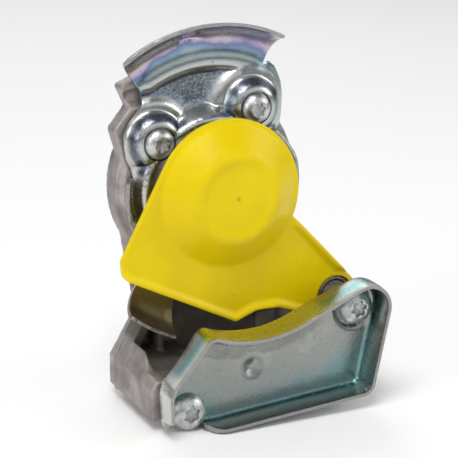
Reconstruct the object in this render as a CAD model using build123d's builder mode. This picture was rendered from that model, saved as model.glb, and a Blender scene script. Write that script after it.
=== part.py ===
"""Palm-type coupling head for a trailer's control air line: a cast body, two pressed claws and a sprung lid.

Frame: the origin is the centre of the sealing face. +Y runs along the seal's axis into the body, to the
threaded port at the rear; the mating head comes from -Y. +Z is up and +X is to the right, seen from -Y.
"""
from build123d import *
from math import acos, asin, atan2, cos, degrees, radians, sin
import os

# Pressed steel and gaps
sheet = 1.8                      # thickness of both pressed plates
running_gap = 0.3                # room left beside anything that moves
fit_gap = 0.05                   # room left round a piece that is fixed in its seat

# Depths along the seal's axis
web_y = 10.7                     # front of the guide plate's flat web
ear_rise = 4.5                   # how far the screw seats stand in front of that web
pocket_depth = 3.0               # how far the pocket between the ears is sunk
claw_y = -13.0                   # rear face of the lower claw's floor
claw_depth = 10.8                # from that face to the claw's rim
body_depth = 10.1                # thickness of the round body behind the plate
port_length = 19.5               # length of the threaded boss behind the body

# Round body, neck and port
body_r = 30.0
groove_r = 28.2                  # step between the body and the plate
groove_w = 1.6
neck_r = 18.9
neck_setback = 1.8               # neck's front behind the sealing face
port_boss_r = 16.0
port_thread_r = 11.0             # M22 x 1.5
port_thread_pitch = 1.5
port_thread_depth = 15.0
passage_r = 8.5

# Sealing ring
seal_r = 15.2
seal_flange_r = 16.8
seal_flange_w = 3.4
seal_depth = 8.5
seal_face_in_r = 10.2
seal_face_out_r = 13.6

# Pan-head screws with a six-lobed socket, M5 in the guide plate and M6 in the lower claw
screw_r = 2.5
head_r = 4.7
head_h = 3.2
head_round_r = 1.8
socket_r = 1.65
socket_lobe_r = 0.55
socket_depth = 2.0
plate_screw_length = 14.0
claw_screw_r = 3.0
claw_head_r = 5.6
claw_head_h = 3.6
claw_head_round_r = 2.4
claw_socket_r = 2.1
claw_socket_lobe_r = 0.7
claw_socket_depth = 2.4
claw_screw_length = 16.0
pivot_screw_length = 32.0
screw_hole_gap = 0.25

# Guide plate, angles in degrees from vertical and clockwise as seen from the front
ear_left = (-18.8, 15.4)
ear_right = (12.9, 23.5)
ear_foot_r = 10.6
ear_flange_w = 0.6
ear_wall_angle = 55.0
ear_top_bend = 2.2
ear_foot_bend = 2.6
ear_recess = 0.8                 # depth of the round recess that takes the screw's head
ear_recess_gap = 0.2             # room round the head in that recess
ear_pad_w = 1.2                  # by which the pad behind the recess is wider
web_right = [(21.0, 36.0), (23.4, 30.5), (23.8, 26.5), (23.2, 13.0)]
web_left = [(-27.8, 10.5), (-28.4, 14.5), (-28.4, 18.2), (-27.0, 21.1), (-24.8, 23.9), (-22.4, 26.5),
            (-21.8, 29.2)]
web_left_foot = (-24.9, 2.6)     # where that edge runs into the rim round the neck
channel_start = -36.5
channel_end = 26.0
channel_root_r = 38.6
channel_bend_r = 7.7
channel_dip_r = 3.0
channel_dip_angle = 20.0
lip_lean = 12.0
lip_y = 5.5                      # front edge of the curled lip
plate_hole_gap = 0.8             # between the neck and the plate
dish_flat_r = 25.6
dish_bend_r = 2.2
dish_angle = 70.0
dish_y = 6.6                     # front edge of the curled rim round the neck
dish_spans = ((-113.0, -82.0), (58.0, 212.0))
tongue_start = -165.0
tongue_end = -143.0
tongue_bend_r = 6.0
tongue_flat_r = 39.9
tongue_angle = 80.0
tongue_y = 1.2                   # front edge of the tongue's lip
pocket_corner_r = 0.9
pocket_slope = 30.0
pocket_top_r = 36.8              # its upper edge, about the seal's axis
pocket_left_r = 11.6             # its edge round the left ear
pocket_right_r = 10.9            # and round the right ear
pocket_mouth = [(-27.0, 30.2), (-27.0, 26.6)]
pocket_edge = 0.2                # by which the pocket's outer taper starts behind the web's front

# Lower claw
claw_edge_r = 38.7               # concave edge, about the seal's axis
claw_edge_end = 203.0
claw_ear_r = 8.0
claw_ear_out = 12.2              # centre of the claw's ear, beyond the concave edge
claw_ear_angle = 133.4
claw_screw_at = (-19.3, -61.3)
claw_bend_r = 3.0
claw_corner_r = 4.5
claw_side_lean = 13.4            # of the right side, from upright
claw_corners = [(39.2, -62.7), (-11.0, -66.9), (-28.0, -66.4)]
claw_left_side = [(-13.5, -17.9), (-12.1, -14.4)]    # corners measured from the concave edge's left end
claw_corner_cut = (-26.3, -14.5)                     # ends of the open corner below the left screw
claw_corner_cut_z = -63.5
claw_rim_round = 5.5                                 # of the rim's end beside that corner
pivot_out = 12.7                 # lid's pivot, beyond the concave edge
pivot_angle = 134.9
pivot_seat_drop = 1.2            # round seat sunk in the claw's floor
pivot_seat_r = 6.8
pivot_pad_w = 1.0                # by which the pad behind that seat is wider
dimple = (2.0, -51.0)
dimple_r = 3.8
dimple_depth = 1.7

# Pivot of the lid
bush_r = 4.5
pivot_boss_r = 7.2
washer_r = 5.8
washer_t = 1.0
spring_wire_r = 0.6              # the coil's wire is drawn with eight flats
spring_turns = 3
spring_pitch = 1.28
bearing_l = 2.4

# Lid
lid_t = 2.2
lid_gap = 0.6                    # between the lid's back and the sealing face
lid_r = 23.1
dome_r = 21.6
dome_top_r = 12.4
dome_rise = 7.0
dome_wall = 2.0
dome_sink = 0.5
lid_eye_r = 7.7
lid_eye_step = 0.6               # by which the eye's boss at the back is smaller
lid_left_angle = -62.0
lid_arm_angle = 113.0
lid_corners = [(16.0, -37.2), (8.6, -37.2), (1.6, -39.9), (-34.4, -22.1), (-34.9, -16.8)]
lid_corner_r = 3.2
dome_top_bend = 5.0
bearing_gap = 0.08
bead_w = 1.7
bead_h = 1.3

# Housing's lower body
bracket_t = 6.5
bracket_corner_r = 1.2
leg_left = -29.8
leg_bottom = -63.8
leg_wall = 4.2
wall = 3.6
arm_top = -51.4
arm_right = -9.0
rib_x = -17.0
rib_w = 1.6
stop_x = 12.0
stop_w = 6.0


def polar(radius, angle):
    """Point in front view at a radius and an angle from vertical."""
    return (radius * sin(radians(angle)), radius * cos(radians(angle)))


# Worked out from the sizes above
claw_ear = polar(claw_edge_r + claw_ear_out, claw_ear_angle)
claw_edge_start = claw_ear_angle + degrees(acos((claw_edge_r + claw_ear_r) / (claw_edge_r + claw_ear_out)))
pivot = polar(claw_edge_r + pivot_out, pivot_angle)
plate_back_y = web_y + sheet
seat_y = web_y - ear_rise
plate_screw_y = seat_y + ear_recess
body_back_y = plate_back_y + body_depth
port_y = body_back_y + port_length
lid_back_y = -lid_gap
lid_front_y = lid_back_y - lid_t
dome_top_y = lid_front_y - dome_rise
claw_floor_y = claw_y - sheet
claw_rim_y = claw_y - claw_depth
pivot_seat_y = claw_floor_y + pivot_seat_drop
pivot_back_y = claw_y + pivot_seat_drop
screw_hole_r = screw_r + screw_hole_gap
claw_screw_hole_r = claw_screw_r + screw_hole_gap
claw_inner_bend_r = claw_bend_r - sheet
plate_screw_size = (screw_r, head_r, head_h, head_round_r, socket_r, socket_lobe_r, socket_depth)
claw_screw_size = (
    claw_screw_r, claw_head_r, claw_head_h, claw_head_round_r,
    claw_socket_r, claw_socket_lobe_r, claw_socket_depth,
)
port_core_r = port_thread_r - 0.54 * port_thread_pitch
spring_mean_r = bush_r + 4 * fit_gap + spring_wire_r
spring_hole_r = spring_mean_r + spring_wire_r + running_gap
spring_length = spring_turns * spring_pitch + 2 * spring_wire_r
spring_floor_y = lid_front_y + spring_length
pivot_boss_y = spring_floor_y + bearing_l + running_gap
web_mid_y = web_y + sheet / 2
channel_dip = (channel_dip_r + channel_bend_r) * (1 - cos(radians(channel_dip_angle)))
spring_leg = (pivot[0], pivot[1] - spring_mean_r)


def front(y):
    """Plane across the seal's axis at depth y, which faces the mating head."""
    return Plane.XZ.offset(-y)


def beside(x, z):
    """Plane through an axis parallel to the seal's axis: radius first, then depth."""
    return Plane(origin=(x, 0, z), x_dir=(1, 0, 0), z_dir=(0, 0, 1))


def about_seal(angle):
    """Plane through the seal's axis at an angle from vertical: radius first, then depth."""
    turn = radians(angle)
    return Plane(origin=(0, 0, 0), x_dir=(sin(turn), 0, cos(turn)), z_dir=(-cos(turn), 0, sin(turn)))


def pan_screw(place, y, length, size):
    """Pan-head screw with a six-lobed socket; its head sits at depth y and its shank runs to the rear."""
    x, z = place
    shank_r, top_r, top_h, round_r, hole_r, lobe_r, hole_depth = size
    with BuildPart() as screw:
        with BuildSketch(beside(x, z)) as profile:
            with BuildLine():
                Polyline(
                    (0, y + length), (shank_r - 0.4, y + length), (shank_r, y + length - 0.4), (shank_r, y),
                    (top_r, y), (top_r, y - top_h), (0, y - top_h), close=True,
                )
            make_face()
            fillet(profile.vertices().sort_by(Axis.Y)[:2].sort_by(Axis.X)[-1], round_r)
        revolve(axis=Axis((x, 0, z), (0, 1, 0)))
        with BuildSketch(front(y - top_h)):
            with Locations(place):
                Circle(hole_r)
                with PolarLocations(hole_r, 6):
                    Circle(lobe_r)
        extrude(amount=-hole_depth, mode=Mode.SUBTRACT)
    return screw.part


def bent_strip(start_r, flat_r, bends, end_y):
    """Middle of a pressed strip: flat from start_r to flat_r, then bends (radius, angle), then straight."""
    with BuildLine() as strip:
        piece = Line((start_r, web_mid_y), (flat_r, web_mid_y))
        for bend_r, angle in bends:
            piece = JernArc(piece @ 1, piece % 1, bend_r, angle)
        end, heading = piece @ 1, piece % 1
        Line(end, end + heading * ((end_y - end.Y) / heading.Y))
    return strip.edges()


# Outlines that more than one piece follows
lower_points = [
    (-26.0, -15.0), (-21.6, -40.0), (leg_left, -54.0), (leg_left, leg_bottom),
    (36.0, -57.5), (pivot[0] + pivot_boss_r, pivot[1]), (27.0, -13.0),
]
bracket_points = [
    (-23.4, 34.4), (-28.6, 32.3), (-25.6, 25.7), (-30.9, 19.1), (-27.5, 8.0), (26.0, 10.0),
    (22.4, 18.0), (21.5, 31.0), (14.0, 34.0), (-3.0, 37.0),
]


def pocket(grow, y, depth):
    """Tapered prism of the pocket between the ears, grown all round, from depth y to the rear."""
    with BuildPart() as prism:
        with BuildSketch(front(y)) as mouth:
            with BuildLine():
                left = CenterArc(ear_left, pocket_left_r, 95, -62)
                right = CenterArc(ear_right, pocket_right_r, 183, -80)
                top = CenterArc((0, 0), pocket_top_r, 76, 46)
                Line(left @ 1, right @ 0)
                Line(right @ 1, top @ 0)
                Polyline(top @ 1, *pocket_mouth, left @ 0)
            make_face()
            fillet(mouth.vertices(), pocket_corner_r)
            offset(amount=grow)
        extrude(amount=-depth, taper=pocket_slope)
    return prism.part


# Leg and arm, at the left of the housing
with BuildPart() as leg:
    with BuildSketch(Plane.YZ.offset(leg_left)):
        with BuildLine():
            Polyline(
                (body_back_y, leg_bottom), (claw_y, leg_bottom), (claw_y, arm_top), (claw_y + 9.0, arm_top),
                (7.0, -43.5), (7.0, -30.0), (plate_back_y, -24.0), (body_back_y, -24.0), close=True,
            )
        make_face()
    extrude(amount=arm_right - leg_left)
    with BuildSketch(front(body_back_y)):
        with BuildLine():
            Polyline(*lower_points, close=True)
        make_face()
    extrude(amount=body_back_y - claw_y, mode=Mode.INTERSECT)
    with BuildSketch(front(plate_back_y + fit_gap)):
        Circle(tongue_flat_r + tongue_bend_r + 3.0)
    extrude(amount=plate_back_y - claw_y + 1, mode=Mode.SUBTRACT)
    with Locations(((leg_left + leg_wall + 20.0), (claw_y + body_back_y - wall) / 2 - 5, arm_top + 20.0)):
        Box(40.0, body_back_y - wall - claw_y + 10, 40.0, mode=Mode.SUBTRACT)

# Housing: round body, neck, rear port, bracket behind the plate, lower body, leg and pivot boss
with BuildPart() as housing:
    with BuildSketch(front(body_back_y)):
        Circle(body_r)
    extrude(amount=body_depth - groove_w)
    with BuildSketch(front(body_back_y)):
        Circle(groove_r)
    extrude(amount=body_depth)
    with BuildSketch(front(plate_back_y)):
        Circle(neck_r)
    extrude(amount=plate_back_y - neck_setback)
    with BuildSketch(front(port_y)):
        Circle(port_boss_r)
    extrude(amount=port_length)
    with BuildSketch(front(plate_back_y + bracket_t)) as bracket:
        with BuildLine():
            Polyline(*bracket_points, close=True)
        make_face()
        fillet(bracket.vertices(), bracket_corner_r)
    extrude(amount=bracket_t)
    with BuildSketch(front(plate_back_y + channel_dip + fit_gap)):
        Circle(2 * channel_root_r)
        Circle(channel_root_r - fit_gap, mode=Mode.SUBTRACT)
    extrude(amount=sheet, mode=Mode.SUBTRACT)
    with BuildSketch(front(plate_back_y)):
        with Locations(ear_left, ear_right):
            Circle(screw_r + 2.4)
    extrude(amount=plate_back_y - plate_screw_y - sheet)
    with BuildSketch(front(body_back_y)) as lower:
        with BuildLine():
            Polyline(*lower_points, close=True)
        make_face()
        fillet(lower.vertices().sort_by(Axis.Z)[:3], 2.0)
    extrude(amount=body_depth)
    with BuildSketch(front(body_back_y - wall)):
        with BuildLine():
            Polyline(*lower_points, close=True)
        make_face()
        offset(amount=-wall, kind=Kind.INTERSECTION, mode=Mode.REPLACE)
        Circle(body_r, mode=Mode.SUBTRACT)
    extrude(amount=body_depth, mode=Mode.SUBTRACT)
    add(leg.part)
    with BuildSketch(front(body_back_y)):
        with Locations(pivot):
            Circle(pivot_boss_r)
    extrude(amount=body_back_y - pivot_boss_y)
    # Boss of the claw's screw, rib in the throat and stop of the lid
    with BuildSketch(front(claw_y + claw_screw_length + 4)):
        with Locations(claw_screw_at):
            Circle(claw_screw_r + 1.6)
    extrude(amount=claw_screw_length + 4)
    with Locations((rib_x, (body_back_y + web_y) / 2, arm_top + 3.0)):
        Box(rib_w, body_back_y - web_y, 8.0)
    with Locations((stop_x, (lid_front_y + body_back_y) / 2, lid_corners[0][1] - running_gap - 3.0)):
        Box(stop_w, body_back_y - lid_front_y, 6.0)
    add(pocket(sheet + running_gap, web_y + pocket_edge, pocket_depth + sheet), mode=Mode.SUBTRACT)
    # Seal's seat, passage and port
    with BuildSketch(Plane.XY):
        with BuildLine():
            Polyline(
                (0, neck_setback - 1), (seal_r + fit_gap, neck_setback - 1),
                (seal_r + fit_gap, seal_depth - seal_flange_w - fit_gap),
                (seal_flange_r + fit_gap, seal_depth - seal_flange_w - fit_gap),
                (seal_flange_r + fit_gap, seal_depth), (passage_r, seal_depth),
                (passage_r, port_y - port_thread_depth - 2), (port_core_r, port_y - port_thread_depth),
                (port_core_r, port_y - 1.2), (port_thread_r + 0.3, port_y + 0.1), (0, port_y + 0.1),
                close=True,
            )
        make_face()
    revolve(axis=Axis.Y, mode=Mode.SUBTRACT)
    # Screw holes
    with BuildSketch(front(0)):
        with Locations(ear_left, ear_right):
            Circle(screw_r + fit_gap)
    extrude(amount=-(plate_screw_y + plate_screw_length + 1), mode=Mode.SUBTRACT)
    with BuildSketch(front(claw_y - 1)):
        with Locations(claw_screw_at):
            Circle(claw_screw_r + fit_gap)
    extrude(amount=-(claw_screw_length), mode=Mode.SUBTRACT)
    with BuildSketch(front(0)):
        with Locations(pivot):
            Circle(claw_screw_r + fit_gap)
    extrude(amount=-(pivot_seat_y - washer_t + pivot_screw_length + 1), mode=Mode.SUBTRACT)

# Guide plate: web, ears, channel, rim round the neck, tongue and pocket
with BuildPart() as guide_plate:
    with BuildSketch(front(plate_back_y)):
        with BuildLine():
            shoulder = ThreePointArc(
                polar(channel_root_r, channel_start), (0, channel_root_r), polar(channel_root_r, channel_end)
            )
            Polyline(shoulder @ 1, *web_right, (0, 0), web_left_foot, *web_left, shoulder @ 0)
        make_face()
        Circle(dish_flat_r)
        with Locations(ear_left, ear_right):
            Circle(ear_foot_r, mode=Mode.SUBTRACT)
    extrude(amount=sheet)
    wall_angle = radians(ear_wall_angle)
    bends_rise = (ear_top_bend + ear_foot_bend) * (1 - cos(wall_angle))
    ear_slant = (ear_rise - bends_rise) / sin(wall_angle)
    ear_flat = ear_foot_r - (ear_top_bend + ear_foot_bend) * sin(wall_angle) - ear_slant * cos(wall_angle)
    for place in (ear_left, ear_right):
        with BuildSketch(beside(*place)):
            with BuildLine():
                seat = Line((screw_hole_r, seat_y + sheet / 2), (ear_flat, seat_y + sheet / 2))
                top_bend = JernArc(seat @ 1, seat % 1, ear_top_bend, ear_wall_angle)
                slant = Line(top_bend @ 1, (top_bend @ 1) + (top_bend % 1) * ear_slant)
                foot_bend = JernArc(slant @ 1, slant % 1, ear_foot_bend, -ear_wall_angle)
                Line(foot_bend @ 1, (ear_foot_r + ear_flange_w, web_mid_y))
            trace(line_width=sheet)
        revolve(axis=Axis((place[0], 0, place[1]), (0, 1, 0)))
    with BuildSketch(front(plate_screw_y + sheet)):
        with Locations(ear_left, ear_right):
            Circle(head_r + ear_recess_gap + ear_pad_w)
    extrude(amount=ear_recess + sheet / 2)
    with BuildSketch(front(plate_screw_y)):
        with Locations(ear_left, ear_right):
            Circle(head_r + ear_recess_gap)
    extrude(amount=ear_recess + 1, mode=Mode.SUBTRACT)
    with BuildSketch(front(web_y)):
        with Locations(ear_left, ear_right):
            Circle(screw_hole_r)
    extrude(amount=ear_rise, mode=Mode.SUBTRACT)
    with BuildSketch(about_seal(channel_start)):
        channel_turn = lip_lean - 90 - channel_dip_angle
        channel_bends = [(channel_dip_r, channel_dip_angle), (channel_bend_r, channel_turn)]
        trace(bent_strip(channel_root_r - 2.5, channel_root_r, channel_bends, lip_y), line_width=sheet)
    revolve(axis=Axis.Y, revolution_arc=channel_end - channel_start)
    for first, last in dish_spans:
        with BuildSketch(about_seal(first)):
            rim = bent_strip(dish_flat_r - 2.5, dish_flat_r, [(dish_bend_r, -dish_angle)], dish_y)
            trace(rim, line_width=sheet)
        revolve(axis=Axis.Y, revolution_arc=last - first)
    with BuildSketch(front(plate_back_y)):
        with BuildLine():
            lip_root = ThreePointArc(
                polar(tongue_flat_r, tongue_start), polar(tongue_flat_r, (tongue_start + tongue_end) / 2),
                polar(tongue_flat_r, tongue_end),
            )
            Polyline(lip_root @ 1, (-25.0, -10.5), (-22.0, -10.5), (-12.3, -22.0), lip_root @ 0)
        make_face()
    extrude(amount=sheet)
    with BuildSketch(about_seal(tongue_start)):
        lip = bent_strip(tongue_flat_r - 2.5, tongue_flat_r, [(tongue_bend_r, -tongue_angle)], tongue_y)
        trace(lip, line_width=sheet)
    revolve(axis=Axis.Y, revolution_arc=tongue_end - tongue_start)
    add(pocket(sheet, web_y + pocket_edge, pocket_depth + sheet - pocket_edge))
    add(pocket(0, web_y, pocket_depth), mode=Mode.SUBTRACT)
    with BuildSketch(front(web_y + 20)):
        with BuildLine():
            Polyline(
                (-60.0, web_left[0][1]), *web_left, polar(channel_root_r, channel_start - 0.001),
                polar(60, channel_start - 0.001), (-60.0, 60.0), close=True,
            )
        make_face()
    extrude(amount=40, mode=Mode.SUBTRACT)
    with BuildSketch(front(plate_back_y + 1)):
        Circle(neck_r + plate_hole_gap)
    extrude(amount=40, mode=Mode.SUBTRACT)

# Lower claw: a pressed pan, open to the front


def claw_outline():
    """Outline of the lower claw in front view, with its round ear at the pivot."""
    with BuildLine() as outline:
        throat = ThreePointArc(
            polar(claw_edge_r, claw_edge_end), (0, -claw_edge_r), polar(claw_edge_r, claw_edge_start)
        )
        ear_start = Vector(*claw_ear) - Vector(*polar(claw_ear_r, claw_edge_start))
        ear_top = Vector(*claw_ear) + Vector(claw_ear_r, 0).rotate(Axis.Z, 50)
        ear_end = Vector(*claw_ear) + Vector(claw_ear_r, 0).rotate(Axis.Z, -claw_side_lean)
        Line(throat @ 1, ear_start)
        ThreePointArc(ear_start, ear_top, ear_end)
        side = [(throat @ 0) + Vector(*corner) for corner in claw_left_side]
        Polyline(ear_end, *claw_corners, *side, throat @ 0)
    return outline.edges()


with BuildPart() as claw_hollow:
    with BuildSketch(front(claw_floor_y)) as inside:
        with BuildLine():
            add(claw_outline())
        make_face()
        fillet(inside.vertices().sort_by(Axis.Y)[:3], claw_corner_r)
        offset(amount=-sheet)
    extrude(amount=claw_depth)
    fillet(claw_hollow.faces().sort_by(Axis.Y)[-1].edges(), claw_inner_bend_r)

with BuildPart() as lower_claw:
    with BuildSketch(front(claw_y)) as pan:
        with BuildLine():
            add(claw_outline())
        make_face()
        fillet(pan.vertices().sort_by(Axis.Y)[:3], claw_corner_r)
    extrude(amount=claw_depth)
    fillet(lower_claw.faces().sort_by(Axis.Y)[-1].edges(), claw_bend_r)
    add(claw_hollow.part, mode=Mode.SUBTRACT)
    # Open corner below the left screw
    with BuildSketch(front(claw_floor_y)):
        with Locations((claw_corner_cut[0], claw_corner_cut_z)):
            Rectangle(claw_corner_cut[1] - claw_corner_cut[0], claw_depth, align=(Align.MIN, Align.MAX))
    extrude(amount=claw_depth, mode=Mode.SUBTRACT)
    with BuildSketch(Plane.XY.offset(claw_corners[1][1] - 1)):
        with Locations((claw_corner_cut[1], claw_rim_y)):
            Rectangle(claw_rim_round, claw_rim_round, align=(Align.MIN, Align.MIN))
        with Locations((claw_corner_cut[1] + claw_rim_round, claw_rim_y + claw_rim_round)):
            Circle(claw_rim_round, mode=Mode.SUBTRACT)
    extrude(amount=claw_bend_r + sheet, mode=Mode.SUBTRACT)
    # Sunk seat of the pivot screw and detent dimple
    with BuildSketch(front(pivot_back_y)):
        with Locations(pivot):
            Circle(pivot_seat_r + pivot_pad_w)
    extrude(amount=pivot_seat_drop + sheet / 2, taper=-20)
    with BuildSketch(front(pivot_seat_y)):
        with Locations(pivot):
            Circle(pivot_seat_r)
    extrude(amount=pivot_seat_drop, taper=-30, mode=Mode.SUBTRACT)
    ball_r = (dimple_r**2 + dimple_depth**2) / (2 * dimple_depth)
    ball_y = claw_floor_y + dimple_depth - ball_r
    with BuildSketch(beside(*dimple)):
        with Locations((0, ball_y)):
            Circle(ball_r + sheet)
        with Locations((0, claw_floor_y + sheet / 2)):
            Rectangle(4 * ball_r, 4 * ball_r, align=(Align.CENTER, Align.MAX), mode=Mode.SUBTRACT)
            Rectangle(4 * ball_r, 8 * ball_r, align=(Align.MAX, Align.CENTER), mode=Mode.SUBTRACT)
    revolve(axis=Axis((dimple[0], 0, dimple[1]), (0, 1, 0)))
    with Locations((dimple[0], ball_y, dimple[1])):
        Sphere(ball_r, mode=Mode.SUBTRACT)
    # Holes
    with BuildSketch(front(claw_rim_y)):
        with Locations(claw_screw_at, pivot):
            Circle(claw_screw_hole_r)
        with Locations(spring_leg):
            Circle(spring_wire_r + 4 * fit_gap)
    extrude(amount=claw_rim_y, mode=Mode.SUBTRACT)

# Lid: plate with a hollow dome, edge beads and a pivot eye


def lid_outline():
    """Outline of the lid in front view: round over the seal, a corner at the left, an arm to the pivot."""
    arm_start = Vector(*polar(lid_r, lid_arm_angle))
    run = Vector(*pivot) - arm_start
    lean = degrees(atan2(run.Y, run.X) + asin(lid_eye_r / run.length))
    with BuildLine() as outline:
        arc = ThreePointArc(polar(lid_r, lid_left_angle), (0, lid_r), arm_start)
        eye = CenterArc(pivot, lid_eye_r, lean + 90, -(lean + 90 + 105))
        Line(arc @ 1, eye @ 0)
        Polyline(eye @ 1, *lid_corners, arc @ 0)
    return outline.edges()


with BuildPart() as lid:
    with BuildSketch(front(lid_back_y)) as plate:
        with BuildLine():
            add(lid_outline())
        make_face()
        fillet(plate.vertices().group_by(Axis.Y)[0], lid_corner_r)
        fillet(plate.vertices().group_by(Axis.X)[0], lid_corner_r)
    extrude(amount=lid_t)
    # Beads along the lower edges and along the arm's upper edge
    with BuildSketch(front(lid_front_y)) as bead:
        with BuildLine():
            add(lid_outline())
        make_face()
        fillet(bead.vertices().group_by(Axis.Y)[0], lid_corner_r)
        fillet(bead.vertices().group_by(Axis.X)[0], lid_corner_r)
        offset(amount=-bead_w, mode=Mode.SUBTRACT)
        Circle(lid_r, mode=Mode.SUBTRACT)
        with Locations(pivot):
            Circle(lid_eye_r + fit_gap, mode=Mode.SUBTRACT)
        with BuildLine():
            Polyline((-60, -21.0), (0, -21.0), (0, 60), (-60, 60), close=True)
        make_face(mode=Mode.SUBTRACT)
    extrude(amount=bead_h)
    with BuildSketch(Plane.XY) as dome:
        with BuildLine():
            Polyline(
                (0, lid_back_y), (dome_r, lid_back_y), (dome_r, lid_front_y),
                (dome_top_r, dome_top_y), (0, dome_top_y + dome_sink), close=True,
            )
        make_face()
        fillet(dome.vertices().sort_by(Axis.Y)[0], dome_top_bend)
    revolve(axis=Axis.Y)
    with BuildSketch(Plane.XY) as cavity:
        with BuildLine():
            Polyline(
                (0, lid_back_y + 1), (dome_r - dome_wall, lid_back_y + 1), (dome_r - dome_wall, lid_front_y),
                (dome_top_r - 1.0, dome_top_y + dome_wall), (0, dome_top_y + dome_wall + dome_sink),
                close=True,
            )
        make_face()
        fillet(cavity.vertices().sort_by(Axis.Y)[0], dome_top_bend - dome_wall)
    revolve(axis=Axis.Y, mode=Mode.SUBTRACT)
    # Eye: bearing on the bush behind, recess for the spring in front
    with BuildSketch(front(pivot_boss_y - running_gap)):
        with Locations(pivot):
            Circle(lid_eye_r - lid_eye_step)
    extrude(amount=pivot_boss_y - running_gap - lid_back_y)
    with BuildSketch(front(pivot_boss_y)):
        with Locations(pivot):
            Circle(bush_r + bearing_gap)
    extrude(amount=pivot_boss_y - lid_front_y + 1, mode=Mode.SUBTRACT)
    with BuildSketch(front(spring_floor_y)):
        with Locations(pivot):
            Circle(spring_hole_r)
        with Locations((pivot[0], pivot[1] - spring_mean_r - 1.5)):
            Rectangle(2 * spring_wire_r + 0.5, 3.0 + 2 * spring_wire_r)
    extrude(amount=spring_length + 1, mode=Mode.SUBTRACT)

# Sealing ring
with BuildPart() as sealing_ring:
    with BuildSketch(Plane.XY):
        with BuildLine():
            Polyline(
                (passage_r, seal_depth), (seal_flange_r, seal_depth),
                (seal_flange_r, seal_depth - seal_flange_w),
                (seal_r, seal_depth - seal_flange_w), (seal_r, neck_setback + 0.4), (seal_face_out_r, 0),
                (seal_face_in_r, 0), (passage_r, neck_setback), close=True,
            )
        make_face()
    revolve(axis=Axis.Y)

# Pivot bush, washer and spring
with BuildPart() as pivot_bush:
    with BuildSketch(front(pivot_boss_y)):
        with Locations(pivot):
            Circle(bush_r)
            Circle(claw_screw_hole_r, mode=Mode.SUBTRACT)
    extrude(amount=pivot_boss_y - pivot_back_y)

with BuildPart() as pivot_washer:
    with BuildSketch(front(pivot_seat_y)):
        with Locations(pivot):
            Circle(washer_r)
            Circle(claw_screw_hole_r, mode=Mode.SUBTRACT)
    extrude(amount=washer_t)

with BuildPart() as lid_spring:
    coil_y = spring_floor_y - spring_wire_r - fit_gap
    with BuildLine():
        coil = Helix(
            spring_pitch, spring_turns * spring_pitch, spring_mean_r,
            center=(pivot[0], coil_y, pivot[1]), direction=(0, -1, 0),
        )
    with BuildSketch(Plane(origin=coil @ 0, z_dir=coil % 0)):
        RegularPolygon(spring_wire_r, 8)
    sweep(is_frenet=True)
    with Locations(coil @ 1):
        Sphere(spring_wire_r * 1.1)
    leg_y = coil_y - spring_turns * spring_pitch
    with BuildSketch(front(leg_y)):
        with Locations(spring_leg):
            Circle(spring_wire_r)
    extrude(amount=leg_y - pivot_back_y + sheet - 0.4)
    with BuildSketch(Plane(origin=(pivot[0], coil_y, spring_leg[1] + spring_wire_r / 2), z_dir=(0, 0, -1))):
        Circle(spring_wire_r)
    extrude(amount=2.7)

# Screws
with BuildPart() as plate_screw_left:
    add(pan_screw(ear_left, plate_screw_y, plate_screw_length, plate_screw_size))
with BuildPart() as plate_screw_right:
    add(pan_screw(ear_right, plate_screw_y, plate_screw_length, plate_screw_size))
with BuildPart() as claw_screw:
    add(pan_screw(claw_screw_at, claw_floor_y, claw_screw_length, claw_screw_size))
with BuildPart() as pivot_screw:
    add(pan_screw(pivot, pivot_seat_y - washer_t, pivot_screw_length, claw_screw_size))

housing.part.label = "housing"
guide_plate.part.label = "guide_plate"
lower_claw.part.label = "lower_claw"
lid.part.label = "lid"
sealing_ring.part.label = "sealing_ring"
pivot_bush.part.label = "pivot_bush"
pivot_washer.part.label = "pivot_washer"
lid_spring.part.label = "lid_spring"
plate_screw_left.part.label = "plate_screw_left"
plate_screw_right.part.label = "plate_screw_right"
claw_screw.part.label = "claw_screw"
pivot_screw.part.label = "pivot_screw"

os.makedirs("parts", exist_ok=True)
export_step(housing.part, "parts/housing.step")
export_step(guide_plate.part, "parts/guide_plate.step")
export_step(lower_claw.part, "parts/lower_claw.step")
export_step(lid.part, "parts/lid.step")
export_step(sealing_ring.part, "parts/sealing_ring.step")
export_step(pivot_bush.part, "parts/pivot_bush.step")
export_step(pivot_washer.part, "parts/pivot_washer.step")
export_step(lid_spring.part, "parts/lid_spring.step")
export_step(plate_screw_left.part, "parts/plate_screw_left.step")
export_step(plate_screw_right.part, "parts/plate_screw_right.step")
export_step(claw_screw.part, "parts/claw_screw.step")
export_step(pivot_screw.part, "parts/pivot_screw.step")
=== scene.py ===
"""Looks of a palm-type coupling head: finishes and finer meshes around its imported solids.

Objects are in metres in the frame of the solids: the origin is the centre of the sealing face, +Y runs into
the body and +Z is up. Sizes in the classes are in millimetres, and angles are in degrees, clockwise from
vertical as seen from the front. Flat points are (x, z), and a depth is y.

Names end in _r for a radius, _y for a depth, _x and _z for places on the front, _t for a thickness, _w for a
width and _h for a height. A Circle is a radius, how many gaps make up its turn and the distance between its
points. A Sweep is a radius with a first and a last angle.
"""
import logging
import math
from collections.abc import Sequence
from dataclasses import dataclass, field
from enum import Enum

import bpy
import numpy as np
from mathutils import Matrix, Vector, noise
from mathutils.geometry import delaunay_2d_cdt

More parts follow.
